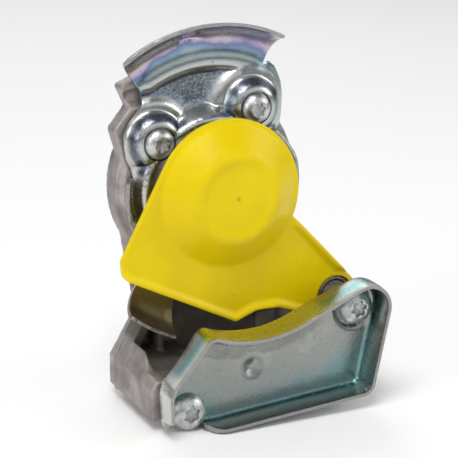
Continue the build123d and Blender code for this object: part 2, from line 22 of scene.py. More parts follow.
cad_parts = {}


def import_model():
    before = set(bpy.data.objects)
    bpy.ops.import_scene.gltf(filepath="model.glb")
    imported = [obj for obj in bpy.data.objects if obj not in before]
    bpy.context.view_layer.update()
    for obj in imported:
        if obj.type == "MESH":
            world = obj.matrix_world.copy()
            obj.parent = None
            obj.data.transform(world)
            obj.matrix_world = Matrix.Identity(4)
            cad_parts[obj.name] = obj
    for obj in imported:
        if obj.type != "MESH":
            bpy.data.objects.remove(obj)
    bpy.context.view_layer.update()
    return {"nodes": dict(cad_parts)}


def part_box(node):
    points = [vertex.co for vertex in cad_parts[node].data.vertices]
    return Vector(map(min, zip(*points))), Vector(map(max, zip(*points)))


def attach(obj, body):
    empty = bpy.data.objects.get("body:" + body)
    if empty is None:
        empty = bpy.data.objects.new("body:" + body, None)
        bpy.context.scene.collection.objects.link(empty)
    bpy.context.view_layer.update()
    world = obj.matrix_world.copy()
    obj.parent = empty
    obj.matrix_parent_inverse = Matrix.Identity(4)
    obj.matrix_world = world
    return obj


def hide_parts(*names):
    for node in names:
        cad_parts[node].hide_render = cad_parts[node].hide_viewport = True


MM = 0.001
TINY = 1e-9
SHORT = 1e-4
LOG = logging.getLogger("coupling_head")
Point = tuple[float, float]
Span = tuple[float, float]
Sweep = tuple[float, float, float]
Circle = tuple[float, int, float]
Window = tuple[float, float, float, float]
Colour = tuple[float, float, float]
Stops = Sequence[tuple[float, Colour]]
Settings = dict[str, object]
Inputs = dict[int | str, object]


class Body(Enum):
    """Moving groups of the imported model."""

    COUPLER = "coupler"
    LID = "lid"


class Slot(Enum):
    """Material slots of the record."""

    CASTING = "cast_aluminium"
    SHEET = "plated_sheet"
    PLASTIC = "yellow_plastic"
    SCREW = "screw_steel"


# Places of the screws, which several pieces share


EARS: tuple[Point, Point] = ((-18.8, 15.4), (12.9, 23.5))
CLAW_SCREW: Point = (-19.3, -61.3)
PIVOT: Point = (36.41, -36.28)


# Shader language


class Signal:
    """A node socket that takes part in Python expressions, each of which adds its Math node."""

    def __init__(self, shader: "Shader", socket: bpy.types.NodeSocket) -> None:
        """Keeps the socket and the shader that it belongs to."""
        self.shader = shader
        self.socket = socket

    def _math(self, operation: str, *terms: "Signal | float") -> "Signal":
        """Adds a Math node on these terms."""
        return self.shader.node("ShaderNodeMath", {"operation": operation}, dict(enumerate(terms)))

    def __add__(self, other: "Signal | float") -> "Signal":
        """Sum."""
        return self._math("ADD", self, other)

    __radd__ = __add__

    def __sub__(self, other: "Signal | float") -> "Signal":
        """Difference."""
        return self._math("SUBTRACT", self, other)

    def __rsub__(self, other: "Signal | float") -> "Signal":
        """Difference from a number."""
        return self._math("SUBTRACT", other, self)

    def __mul__(self, other: "Signal | float") -> "Signal":
        """Product."""
        return self._math("MULTIPLY", self, other)

    __rmul__ = __mul__

    def __truediv__(self, other: "Signal | float") -> "Signal":
        """Quotient."""
        return self._math("DIVIDE", self, other)

    def __pow__(self, other: "Signal | float") -> "Signal":
        """Power."""
        return self._math("POWER", self, other)

    def fraction(self) -> "Signal":
        """What is left after whole numbers are taken away."""
        return self._math("FRACT", self)

    def ramp(self, low: float, high: float) -> "Signal":
        """Smooth step from 0 at low to 1 at high."""
        settings = {"interpolation_type": "SMOOTHSTEP"}
        return self.shader.node("ShaderNodeMapRange", settings, {0: self, 1: low, 2: high, 3: 0.0, 4: 1.0})


class Shader:
    """The node tree of a material or of the world."""

    def __init__(self, owner: bpy.types.Material | bpy.types.World, coordinates: str = "Object") -> None:
        """Starts an empty tree.

        Args:
            owner: Material or world that the tree belongs to.
            coordinates: Output of Texture Coordinate that its patterns follow.
        """
        self.owner = owner
        owner.use_nodes = True
        self.tree = owner.node_tree
        self.tree.nodes.clear()
        self.place = self.node("ShaderNodeTexCoord", output=coordinates)

    def add(
        self, kind: str, settings: Settings | None = None, inputs: Inputs | None = None
    ) -> bpy.types.Node:
        """Adds a node.

        Args:
            kind: Node type.
            settings: Properties, with a ramp's colours under "stops".
            inputs: Values or signals by socket.

        Returns:
            The node.
        """
        made = self.tree.nodes.new(kind)
        for key, value in (settings or {}).items():
            if key == "stops":
                self._stops(made.color_ramp, value)
            else:
                setattr(made, key, value)
        for key, value in (inputs or {}).items():
            if isinstance(value, Signal):
                self.tree.links.new(value.socket, made.inputs[key])
            else:
                made.inputs[key].default_value = value
        return made

    def node(self, kind: str, settings: Settings | None = None, inputs: Inputs | None = None,
             output: int | str = 0) -> Signal:
        """Adds a node and reads one of its outputs."""
        return Signal(self, self.add(kind, settings, inputs).outputs[output])

    @staticmethod
    def _stops(ramp: bpy.types.ColorRamp, stops: Stops) -> None:
        """Sets the colours of a ramp.

        Args:
            ramp: The ramp.
            stops: Its places and colours.
        """
        while len(ramp.elements) < len(stops):
            ramp.elements.new(0.5)
        for element, (place, colour) in zip(ramp.elements, stops):
            element.position = place
            element.color = (*colour, 1.0)

    def noise(self, size: float, detail: float, rough: float, place: Signal | None = None) -> Signal:
        """Noise whose features measure about size millimetres."""
        look = {"Scale": 1 / (size * MM), "Detail": detail, "Roughness": rough}
        return self.node("ShaderNodeTexNoise", None, {"Vector": place or self.place, **look})

    def stretched(self, scale: tuple[float, float, float]) -> Signal:
        """Object coordinates scaled by axis."""
        return self.node("ShaderNodeVectorMath", {"operation": "MULTIPLY"}, {0: self.place, 1: scale})

    def tint(self, factor: Signal, first: Signal | Colour, second: Colour) -> Signal:
        """Mixes two colours.

        Args:
            factor: Share of the second colour.
            first: First colour.
            second: Second colour.

        Returns:
            The mixed colour.
        """
        first = first if isinstance(first, Signal) else (*first, 1.0)
        return self.node("ShaderNodeMix", {"data_type": "RGBA"}, {0: factor, 6: first, 7: (*second, 1.0)}, 2)

    def colours(self, factor: Signal, stops: Stops) -> Signal:
        """Colour ramp."""
        return self.node("ShaderNodeValToRGB", {"stops": stops}, {0: factor})

    def axis(self, index: int) -> Signal:
        """One coordinate, 0 for x."""
        return self.node("ShaderNodeSeparateXYZ", None, {0: self.place}, index)

    def radius(self) -> Signal:
        """Distance in millimetres from the seal's axis."""
        return (self.axis(0) ** 2.0 + self.axis(2) ** 2.0) ** 0.5 / MM

    def painted(self, name: str) -> Signal:
        """Value painted on the mesh under that name."""
        return self.node("ShaderNodeAttribute", {"attribute_name": name}, output="Fac")

    def bump(self, height: Signal, depth: float) -> Signal:
        """Bump normal of a height that swings over depth millimetres."""
        return self.node("ShaderNodeBump", None, {"Height": height, "Strength": 1.0, "Distance": depth * MM})

    def surface(self, **values: Signal | float | tuple) -> bpy.types.Material:
        """Adds the Principled surface.

        Args:
            values: Values or signals by socket name, with _ for a space.

        Returns:
            The finished material.
        """
        inputs = {key.replace("_", " "): value for key, value in values.items()}
        surface = self.node("ShaderNodeBsdfPrincipled", None, inputs)
        self.add("ShaderNodeOutputMaterial", None, {"Surface": surface})
        return self.owner


# Finishes


SILVER_FILM: Stops = (
    (0.00, (0.48, 0.50, 0.50)),
    (0.16, (0.54, 0.52, 0.48)),
    (0.32, (0.58, 0.52, 0.58)),
    (0.44, (0.46, 0.38, 0.56)),
    (0.54, (0.17, 0.20, 0.34)),
    (0.66, (0.22, 0.33, 0.44)),
    (0.80, (0.42, 0.52, 0.52)),
    (1.00, (0.48, 0.50, 0.50)),
)
GREEN_FILM: Stops = (
    (0.00, (0.30, 0.31, 0.29)),
    (0.25, (0.27, 0.31, 0.30)),
    (0.42, (0.17, 0.29, 0.31)),
    (0.55, (0.22, 0.38, 0.34)),
    (0.75, (0.50, 0.51, 0.46)),
    (1.00, (0.30, 0.31, 0.29)),
)
# Yellow-olive bands for the tongue: painted reflection of the lid's yellow underside, which the tongue faces.
LID_REFLECTION_FILM: Stops = ((0.0, (0.55, 0.46, 0.24)), (0.5, (0.44, 0.37, 0.20)), (1.0, (0.55, 0.46, 0.24)))


@dataclass(frozen=True)
class PlatedSheet:
    """Zinc plating under a thin passivation film, whose colour goes round its stops as its phase grows."""

    name: str
    stops: Stops = SILVER_FILM
    phase: float = -0.25
    cloud: float = 0.5
    zone: Span = (35.5, 52.0)
    zone_phase: float = -1.45
    zone_cloud: float = 1.0
    depth_phase: float = 0.0
    fine_phase: float = 0.08
    rough: float = 0.18
    relief: float = 0.06
    # Colours of painted shade in dull hollows and on slopes, of painted highlights, of cut faces and of
    # stains.
    dull_shade_colour: Colour = (0.11, 0.155, 0.21)
    slope_shade_colour: Colour = (0.055, 0.075, 0.11)
    highlight_colour: Colour = (0.66, 0.65, 0.60)
    cut_colour: Colour = (0.36, 0.35, 0.35)
    spot_colour: Colour = (0.20, 0.19, 0.17)

    def build(self) -> bpy.types.Material:
        """Makes the material, which reads what the meshes paint: dull hollows with painted shade, painted
        shade on slopes, painted highlights, and cut faces.

        Returns:
            The material.
        """
        shader = Shader(bpy.data.materials.new(self.name))
        cloud = shader.noise(16.0, 2.0, 0.45)
        fine = shader.noise(2.2, 4.0, 0.6)
        # Across the zone's radii the film runs quickly through its bands: partly the film's own colours, and
        # on the guide plate's channel partly painted dark reflections and bright streaks.
        zone = shader.radius().ramp(*self.zone)
        film = cloud * self.cloud + zone * (cloud * self.zone_cloud + self.zone_phase)
        film = film + shader.axis(1) / MM * self.depth_phase + fine * self.fine_phase + self.phase
        colour = shader.colours(film.fraction(), self.stops)
        recess, cut = shader.painted("recess"), shader.painted("cut")
        grain = shader.noise(0.9, 5.0, 0.7)
        # Painted shade in the dull pocket floor and the dimple, which are also rougher and grainier.
        colour = shader.tint(recess * grain.ramp(0.25, 0.62), colour, self.dull_shade_colour)
        # Painted shade on the slopes round the screw seats.
        colour = shader.tint(shader.painted("slope") * (0.45 + grain * 0.8), colour, self.slope_shade_colour)
        # Painted highlight on the crests round the screw seats and along the claw's left flange and throat
        # edge.
        colour = shader.tint(shader.painted("pale") * (0.6 + fine * 0.4), colour, self.highlight_colour)
        colour = shader.tint(cut * (0.35 + grain * 0.8), colour, self.cut_colour)
        spots = shader.noise(1.1, 3.0, 0.6).ramp(0.64, 0.74)
        colour = shader.tint(spots * 0.4, colour, self.spot_colour)
        rough = self.rough + fine * 0.14 + recess * 0.16 + cut * 0.2 + spots * 0.2
        height = shader.noise(0.45, 3.0, 0.6) * 0.4 + shader.noise(3.2, 2.0, 0.5)
        height = height + (recess + cut * 0.5) * grain * 4.0
        normal = shader.bump(height, self.relief)
        return shader.surface(Base_Color=colour, Metallic=1.0, Roughness=rough, Normal=normal)


@dataclass(frozen=True)
class YellowPlastic:
    """Moulded yellow plastic, satin, with dust, small dark specks and a gate mark at the dome's centre."""

    name: str = "yellow_plastic"
    dark: Colour = (0.70, 0.52, 0.0)
    light: Colour = (0.755, 0.575, 0.0)
    dust_colour: Colour = (0.78, 0.66, 0.10)
    speck_colour: Colour = (0.20, 0.14, 0.02)
    gate_colour: Colour = (0.30, 0.22, 0.02)
    gate_r: Span = (0.3, 0.9)
    rough: float = 0.26
    specular: float = 0.2
    relief: float = 0.05

    def build(self) -> bpy.types.Material:
        """Makes the material.

        Returns:
            The material.
        """
        shader = Shader(bpy.data.materials.new(self.name))
        cloud = shader.noise(14.0, 3.0, 0.5)
        colour = shader.tint(cloud.ramp(0.3, 0.7), self.dark, self.light)
        dust = shader.noise(0.8, 4.0, 0.6).ramp(0.60, 0.72)
        colour = shader.tint(dust * 0.10, colour, self.dust_colour)
        specks = shader.noise(1.0, 2.0, 0.4, shader.stretched((1.0, 1.0, 1.3))).ramp(0.75, 0.775)
        colour = shader.tint(specks * 0.55, colour, self.speck_colour)
        gate = 1.0 - shader.radius().ramp(*self.gate_r)
        colour = shader.tint(gate * 0.5, colour, self.gate_colour)
        height = shader.noise(0.5, 3.0, 0.6) * 0.3 + shader.noise(7.0, 2.0, 0.5) - gate * 4.0
        return shader.surface(
            Base_Color=colour, Roughness=self.rough + cloud * 0.12 + dust * 0.15,
            Specular_IOR_Level=self.specular, Normal=shader.bump(height, self.relief),
        )


@dataclass(frozen=True)
class CastAluminium:
    """Die-cast aluminium, blotchy, darkened with painted shade where the mesh paints it."""

    name: str = "cast_aluminium"
    stops: Stops = ((0.30, (0.18, 0.162, 0.148)), (0.50, (0.335, 0.302, 0.287)), (0.70, (0.53, 0.49, 0.47)))
    cavity_shade_colour: Colour = (0.085, 0.074, 0.056)
    metallic: float = 0.85
    rough: float = 0.42
    relief: float = 0.10

    def build(self) -> bpy.types.Material:
        """Makes the material.

        Returns:
            The material.
        """
        shader = Shader(bpy.data.materials.new(self.name))
        blotch = shader.noise(9.0, 4.0, 0.55)
        grain = shader.noise(0.7, 4.0, 0.65)
        colour = shader.colours(blotch * 0.8 + grain * 0.2, self.stops)
        # Painted shade: dark in the hollow behind the lid and claw, and in a line beside the leg's parting
        # seam.
        soot = shader.painted("soot")
        colour = shader.tint(soot * (0.6 + grain * 0.2), colour, self.cavity_shade_colour)
        return shader.surface(
            Base_Color=colour, Metallic=self.metallic, Roughness=self.rough + grain * 0.2 + soot * 0.15,
            Normal=shader.bump(grain + blotch * 1.5, self.relief),
        )


@dataclass(frozen=True)
class ScrewSteel:
    """Zinc-plated screw steel with painted shade in its socket, which is also rougher there."""

    name: str = "screw_steel"
    dark: Colour = (0.44, 0.45, 0.45)
    light: Colour = (0.68, 0.69, 0.69)
    # Colour of the painted shade in the socket.
    dust_colour: Colour = (0.20, 0.20, 0.20)
    rough: float = 0.26
    relief: float = 0.03

    def build(self) -> bpy.types.Material:
        """Makes the material.

        Returns:
            The material.
        """
        shader = Shader(bpy.data.materials.new(self.name))
        cloud = shader.noise(1.6, 4.0, 0.6)
        # Painted shade in the socket.
        recess = shader.painted("recess")
        colour = shader.tint(cloud.ramp(0.35, 0.7), self.dark, self.light)
        colour = shader.tint(recess * cloud * 0.5, colour, self.dust_colour)
        return shader.surface(
            Base_Color=colour, Metallic=1.0, Roughness=self.rough + cloud * 0.2 + recess * 0.2,
            Normal=shader.bump(shader.noise(0.35, 3.0, 0.6), self.relief),
        )


@dataclass(frozen=True)
class PlainFinish:
    """Finish of a small or hidden piece: two close colours and a fine grain."""

    name: str
    dark: Colour
    light: Colour
    metallic: float
    rough: float
    relief: float = 0.02

    def build(self) -> bpy.types.Material:
        """Makes the material.

        Returns:
            The material.
        """
        shader = Shader(bpy.data.materials.new(self.name))
        cloud = shader.noise(2.5, 4.0, 0.6)
        return shader.surface(
            Base_Color=shader.tint(cloud.ramp(0.3, 0.7), self.dark, self.light), Metallic=self.metallic,
            Roughness=self.rough + cloud * 0.1, Normal=shader.bump(shader.noise(0.5, 3.0, 0.6), self.relief),
        )


# Flat geometry


def polar(radius: float, angle: float) -> Point:
    """Point at a radius and an angle from vertical."""
    return radius * math.sin(math.radians(angle)), radius * math.cos(math.radians(angle))


def arc(radius: float, first: float, last: float, step: float, centre: Point = (0.0, 0.0)) -> list[Point]:
    """Points along an arc.

    Args:
        radius: Radius.
        first: First angle.
        last: Last angle.
        step: Distance between points.
        centre: Centre.

    Returns:
        The points, both ends included.
    """
    count = max(2, round(abs(math.radians(last - first)) * radius / step))
    spokes = (polar(radius, first + (last - first) * i / count) for i in range(count + 1))
    return [(x + centre[0], z + centre[1]) for x, z in spokes]


def ring(radius: float, gap: float, step: float, centre: Point = (0.0, 0.0)) -> list[Point]:
    """Closed circle whose last point stands 1 / gap of a turn from its first."""
    return arc(radius, 360, 360 / gap, step, centre)


def rounded(corners: Sequence[Point], radii: Sequence[float], step: float) -> list[Point]:
    """Closed outline with round corners.

    Args:
        corners: The outline's corners in order.
        radii: Radius at each corner, 0 for a point that is kept as it is.
        step: Distance between points.

    Returns:
        The outline's points, about step apart.
    """
    loop: list[np.ndarray] = []
    count = len(corners)
    longest = 0.49
    for i, radius in enumerate(radii):
        here = np.array(corners[i])
        back = np.array(corners[i - 1]) - here
        ahead = np.array(corners[(i + 1) % count]) - here
        if radius <= 0:
            loop.append(here)
            continue
        back_length, ahead_length = np.linalg.norm(back), np.linalg.norm(ahead)
        back, ahead = back / back_length, ahead / ahead_length
        half = math.acos(float(np.clip(back @ ahead, -1, 1))) / 2
        reach = min(radius / math.tan(half), longest * back_length, longest * ahead_length)
        radius = reach * math.tan(half)
        middle = here + (back + ahead) / np.linalg.norm(back + ahead) * radius / math.sin(half)
        start, end = here + back * reach, here + ahead * reach
        sweep = math.pi - 2 * half
        pieces = max(2, math.ceil(sweep * radius / step))
        for j in range(pieces + 1):
            share = j / pieces
            spoke = (start - middle) * math.sin((1 - share) * sweep)
            spoke = spoke + (end - middle) * math.sin(share * sweep)
            loop.append(middle + spoke / math.sin(sweep))
    return divided([tuple(p) for p in loop], step)


def divided(loop: Sequence[Point], step: float) -> list[Point]:
    """Divides the longer runs of a closed outline.

    Args:
        loop: The outline.
        step: Length of the pieces.

    Returns:
        The outline's points.
    """
    found: list[Point] = []
    for i, here in enumerate(loop):
        there = loop[(i + 1) % len(loop)]
        run = math.dist(here, there)
        if run < SHORT:
            continue
        pieces = max(1, round(run / step))
        for j in range(pieces):
            share = j / pieces
            found.append((here[0] + (there[0] - here[0]) * share, here[1] + (there[1] - here[1]) * share))
    return found


def counter_clockwise(loop: list[Point]) -> list[Point]:
    """Outline in counter-clockwise order as seen from the front."""
    area = sum(a[0] * b[1] - b[0] * a[1] for a, b in zip(loop, [*loop[1:], loop[0]]))
    return loop[::-1] if area < 0 else loop


def within(points: np.ndarray, loop: Sequence[Point]) -> np.ndarray:
    """Finds the points inside a closed outline.

    Args:
        points: Flat points.
        loop: The outline.

    Returns:
        A mask of the points.
    """
    inside = np.zeros(len(points), bool)
    for i, (ax, az) in enumerate(loop):
        bx, bz = loop[(i + 1) % len(loop)]
        if az == bz:
            continue
        crosses = (az > points[:, 1]) != (bz > points[:, 1])
        at = (bx - ax) * (points[:, 1] - az) / (bz - az) + ax
        inside ^= crosses & (points[:, 0] < at)
    return inside


def reach_to(points: np.ndarray, loop: Sequence[Point]) -> np.ndarray:
    """Measures how far points lie from a closed outline.

    Args:
        points: Flat points.
        loop: The outline.

    Returns:
        A distance for each point.
    """
    best = np.full(len(points), np.inf)
    for i, start in enumerate(loop):
        first = np.array(start)
        run = np.array(loop[(i + 1) % len(loop)]) - first
        length = float(run @ run)
        if length < TINY * MM:
            continue
        share = np.clip((points - first) @ run / length, 0, 1)
        best = np.minimum(best, np.linalg.norm(points - first - share[:, None] * run, axis=1))
    return best


def flat_of(points: np.ndarray) -> np.ndarray:
    """Flat points under points in space."""
    return points[:, [0, 2]]


def radius_of(flat: np.ndarray) -> np.ndarray:
    """Distance of flat points from the seal's axis."""
    return np.hypot(flat[:, 0], flat[:, 1])


def spread(flat: np.ndarray, centre: Point) -> np.ndarray:
    """Distance of flat points from a centre."""
    return np.linalg.norm(flat - np.array(centre), axis=1)


def smooth_step(values: np.ndarray, low: float, high: float) -> np.ndarray:
    """Smooth step from 0 at low to 1 at high."""
    share = np.clip((values - low) / (high - low), 0, 1)
    return share * share * (3 - 2 * share)


def window(values: np.ndarray, limits: Window) -> np.ndarray:
    """Smooth rise from 0 to 1 between the first two limits and fall to 0 between the last two."""
    return smooth_step(values, *limits[:2]) * (1 - smooth_step(values, *limits[2:]))


def blend_low(first: np.ndarray, second: np.ndarray, width: float) -> np.ndarray:
    """Lower of two values, rounded where they meet."""
    share = np.clip(0.5 + (second - first) / (2 * width), 0, 1)
    return second * (1 - share) + first * share - width * share * (1 - share)


# Meshes


@dataclass
class Sheet:
    """Middle surface of a piece as points in millimetres and faces that look to the front."""

    points: np.ndarray
    faces: list[tuple[int, ...]]

    def normals(self) -> np.ndarray:
        """Works out the unit normals.

        Returns:
            A normal for each point.
        """
        found = np.zeros_like(self.points)
        for face in self.faces:
            for i in range(1, len(face) - 1):
                fan = (0, i, i + 1)
                a, b, c = (self.points[face[j]] for j in fan)
                across = np.cross(b - a, c - a)
                for j in fan:
                    found[face[j]] += across
        return found / np.maximum(np.linalg.norm(found, axis=1), TINY)[:, None]

    def rims(self) -> list[tuple[int, int]]:
        """Edges along the rims, with the sheet at their left."""
        edges = {(a, face[(i + 1) % len(face)]) for face in self.faces for i, a in enumerate(face)}
        return sorted((a, b) for a, b in edges if (b, a) not in edges)


@dataclass(frozen=True)
class Filling:
    """How an outline is filled with triangles; margins and sliver are shares of the triangles' size."""

    step: float
    margin: float = 0.6
    crease_margin: float = 0.5
    sliver: float = 0.01
    merge: float = 1e-5

    def grid(self, loop: Sequence[Point], holes: Sequence[Sequence[Point]],
             creases: Sequence[Sequence[Point]]) -> np.ndarray:
        """Lays staggered rows of points inside an outline.

        Args:
            loop: Outline.
            holes: Outlines of its holes.
            creases: Closed paths that the points keep clear of.

        Returns:
            Flat points.
        """
        corners = np.array(loop)
        low, high = corners.min(0), corners.max(0)
        rows = np.arange(low[1] + self.step / 2, high[1], self.step * math.sqrt(3) / 2)
        columns = np.arange(low[0], high[0], self.step)
        shifts = (0, self.step / 2)
        grid = np.array([(x + shifts[k % 2], z) for k, z in enumerate(rows) for x in columns])
        keep = within(grid, loop) & (reach_to(grid, loop) > self.step * self.margin)
        for hole in holes:
            keep &= ~within(grid, hole) & (reach_to(grid, hole) > self.step * self.margin)
        for crease in creases:
            keep &= reach_to(grid, crease) > self.step * self.crease_margin
        return grid[keep]

    def fill(self, loop: Sequence[Point], holes: Sequence[Sequence[Point]],
             creases: Sequence[Sequence[Point]] = ()) -> tuple[np.ndarray, list[tuple[int, ...]], list[int]]:
        """Fills an outline with triangles.

        Args:
            loop: Outline.
            holes: Outlines of its holes.
            creases: Closed paths inside the outline that edges follow.

        Returns:
            Flat points, faces, and for each point its number in the outline, or -1.
        """
        flat: list[Point] = []
        edges: list[tuple[int, int]] = []
        for path in (loop, *holes, *creases):
            start = len(flat)
            flat.extend(path)
            edges.extend((start + i, start + (i + 1) % len(path)) for i in range(len(path)))
        flat.extend(map(tuple, self.grid(loop, holes, creases)))
        found = delaunay_2d_cdt([Vector(p) for p in flat], edges, [], 0, self.merge)
        points = np.array([tuple(v) for v in found[0]])
        triangles = np.array([f for f in found[2] if len(f) == 3])
        middles = points[triangles].mean(axis=1)
        kept = within(middles, loop)
        for hole in holes:
            kept &= ~within(middles, hole)
        first, second = (points[triangles[:, k]] - points[triangles[:, 0]] for k in (1, 2))
        kept &= np.abs(first[:, 0] * second[:, 1] - first[:, 1] * second[:, 0]) > self.sliver * self.step**2
        triangles = triangles[kept]
        used = np.unique(triangles)
        order = {int(old): new for new, old in enumerate(used)}
        sources = [min((i for i in found[3][int(old)] if i < len(loop)), default=-1) for old in used]
        for new, source in enumerate(sources):
            if source >= 0:
                points[used[new]] = loop[source]
        return points[used], [tuple(order[int(i)] for i in face) for face in triangles], sources


@dataclass(frozen=True)
class Rim:
    """Sheared rim of a sheet: radius of its two edges, and how far its cut face wanders."""

    edge: float
    ragged: float = 0.0
    pitch: float = 0.9
    offset: float = 0.35
    corner: float = 0.3
    cut_places: Span = (0.2, -0.3)

    def profile(self, half: float) -> list[Point]:
        """Works out the way round the rim, from the front to the back.

        Args:
            half: Half the thickness.

        Returns:
            Depth and inset of its points.
        """
        corner = self.edge * self.corner
        front = [(half - corner, corner), (half - self.edge, 0.0)]
        cut = [(half * share, 0.0) for share in self.cut_places]
        return [*front, *cut, (self.edge - half, 0.0), (corner - half, corner)]

    def wander(self, place: np.ndarray) -> float:
        """How far the cut face stands out at a place."""
        return self.ragged * (noise.noise(Vector(place) * self.pitch) - self.offset)

    def thicken(self, sheet: Sheet, thickness: float | np.ndarray) -> tuple[np.ndarray, list, np.ndarray]:
        """Gives a middle surface its thickness, with round edges at its rims.

        Args:
            sheet: Middle surface.
            thickness: Thickness, the same everywhere or at each point.

        Returns:
            Points, faces, and a value for each point that is 1 on the cut faces.
        """
        normals, rims = sheet.normals(), sheet.rims()
        along = {a: np.zeros(3) for a, _ in rims}
        for a, b in rims:
            run = sheet.points[b] - sheet.points[a]
            run = run / max(np.linalg.norm(run), TINY)
            along[a] = along[a] + run
            along[b] = along.get(b, np.zeros(3)) + run
        count = len(sheet.points)
        halves = np.broadcast_to(np.asarray(thickness, float) / 2, count)
        front = sheet.points + normals * halves[:, None]
        back = sheet.points - normals * halves[:, None]
        rows: dict[int, list[int]] = {}
        extra: list[np.ndarray] = []
        for point in sorted(along):
            out = np.cross(along[point], normals[point])
            out /= max(np.linalg.norm(out), TINY)
            front[point] -= out * self.edge
            back[point] -= out * self.edge
            rows[point] = [point]
            for depth, inset in self.profile(float(halves[point])):
                rows[point].append(2 * count + len(extra))
                place = sheet.points[point] + normals[point] * depth - out * inset
                if self.ragged and inset == 0.0:
                    place = place + out * self.wander(place)
                extra.append(place)
            rows[point].append(count + point)
        faces = [tuple(face) for face in sheet.faces]
        faces += [tuple(count + i for i in reversed(face)) for face in sheet.faces]
        for point, ahead in rims:
            here, there = rows[point], rows[ahead]
            faces += [(here[i], here[i + 1], there[i + 1], there[i]) for i in range(len(here) - 1)]
        cut = np.repeat([0.0, 1.0], [2 * count, len(extra)])
        return np.vstack([front, back, extra]), faces, cut


def lathe(profile: Sequence[Point], centre: Point, segments: int = 96) -> tuple[np.ndarray, list]:
    """Turns a closed profile about an axis parallel to the seal's.

    Args:
        profile: Radius and depth of its corners.
        centre: Where the axis stands.
        segments: Number of profiles in the turn.

    Returns:
        Points and faces.
    """
    points = []
    for i in range(segments):
        for radius, depth in profile:
            x, z = polar(radius, 360 * i / segments)
            points.append((centre[0] + x, depth, centre[1] + z))
    rows = len(profile)
    faces = []
    for i in range(segments):
        here, there = i * rows, (i + 1) % segments * rows
        for j in range(rows):
            k = (j + 1) % rows
            faces.append((here + j, there + j, there + k, here + k))
    return np.array(points), faces


def make_piece(name: str, points: np.ndarray, faces: Sequence, sharp: float, body: Body,
               finish: bpy.types.Material, paint: dict[str, np.ndarray] | None = None) -> bpy.types.Object:
    """Makes an object that rides on a body.

    Args:
        name: Name of the piece.
        points: Points in millimetres.
        faces: Faces.
        sharp: Angle in degrees above which an edge is sharp.
        body: Body that it rides on.
        finish: Its material.
        paint: Values for each point by name.

    Returns:
        The object.
    """
    mesh = bpy.data.meshes.new(name)
    mesh.from_pydata((np.asarray(points) * MM).tolist(), [], [tuple(int(i) for i in f) for f in faces])
    mesh.validate()
    mesh.update()
    for key, values in (paint or {}).items():
        attribute = mesh.attributes.new(key, "FLOAT", "POINT")
        attribute.data.foreach_set("value", np.asarray(values, np.float32))
    mesh.shade_smooth()
    mesh.set_sharp_from_angle(angle=math.radians(sharp))
    mesh.materials.append(finish)
    piece = bpy.data.objects.new(name, mesh)
    bpy.context.scene.collection.objects.link(piece)
    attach(piece, body.value)
    LOG.info("%s: %d faces", name, len(mesh.polygons))
    return piece


@dataclass
class Strip:
    """Profile of a bent strip: flat, then bends of a radius and an angle, then straight to a depth."""

    flat_r: float
    depth: float
    bends: Sequence[Span]
    end_y: float
    turn_step: float = 5.0
    line: np.ndarray = field(init=False)
    length: float = field(init=False)

    def __post_init__(self) -> None:
        """Works out the profile's line as rows of length, radius and depth."""
        place, heading = np.array([self.flat_r, self.depth]), 0.0
        rows = [(0.0, *place)]
        for radius, angle in self.bends:
            pieces = round(abs(angle) / self.turn_step)
            turn = math.radians(angle) / pieces
            chord = 2 * radius * math.sin(abs(turn) / 2)
            for _ in range(pieces):
                place = place + chord * np.array([math.cos(heading + turn / 2), math.sin(heading + turn / 2)])
                heading += turn
                rows.append((rows[-1][0] + radius * abs(turn), *place))
        rest = (self.end_y - place[1]) / math.sin(heading)
        end = place + rest * np.array([math.cos(heading), math.sin(heading)])
        rows.append((rows[-1][0] + rest, *end))
        self.line = np.array(rows)
        self.length = float(rows[-1][0])

    def at(self, lengths: np.ndarray) -> tuple[np.ndarray, np.ndarray]:
        """Radius and depth at lengths past the flat."""
        along, radii, depths = self.line.T
        return np.interp(lengths, along, radii), np.interp(lengths, along, depths)


# Pieces


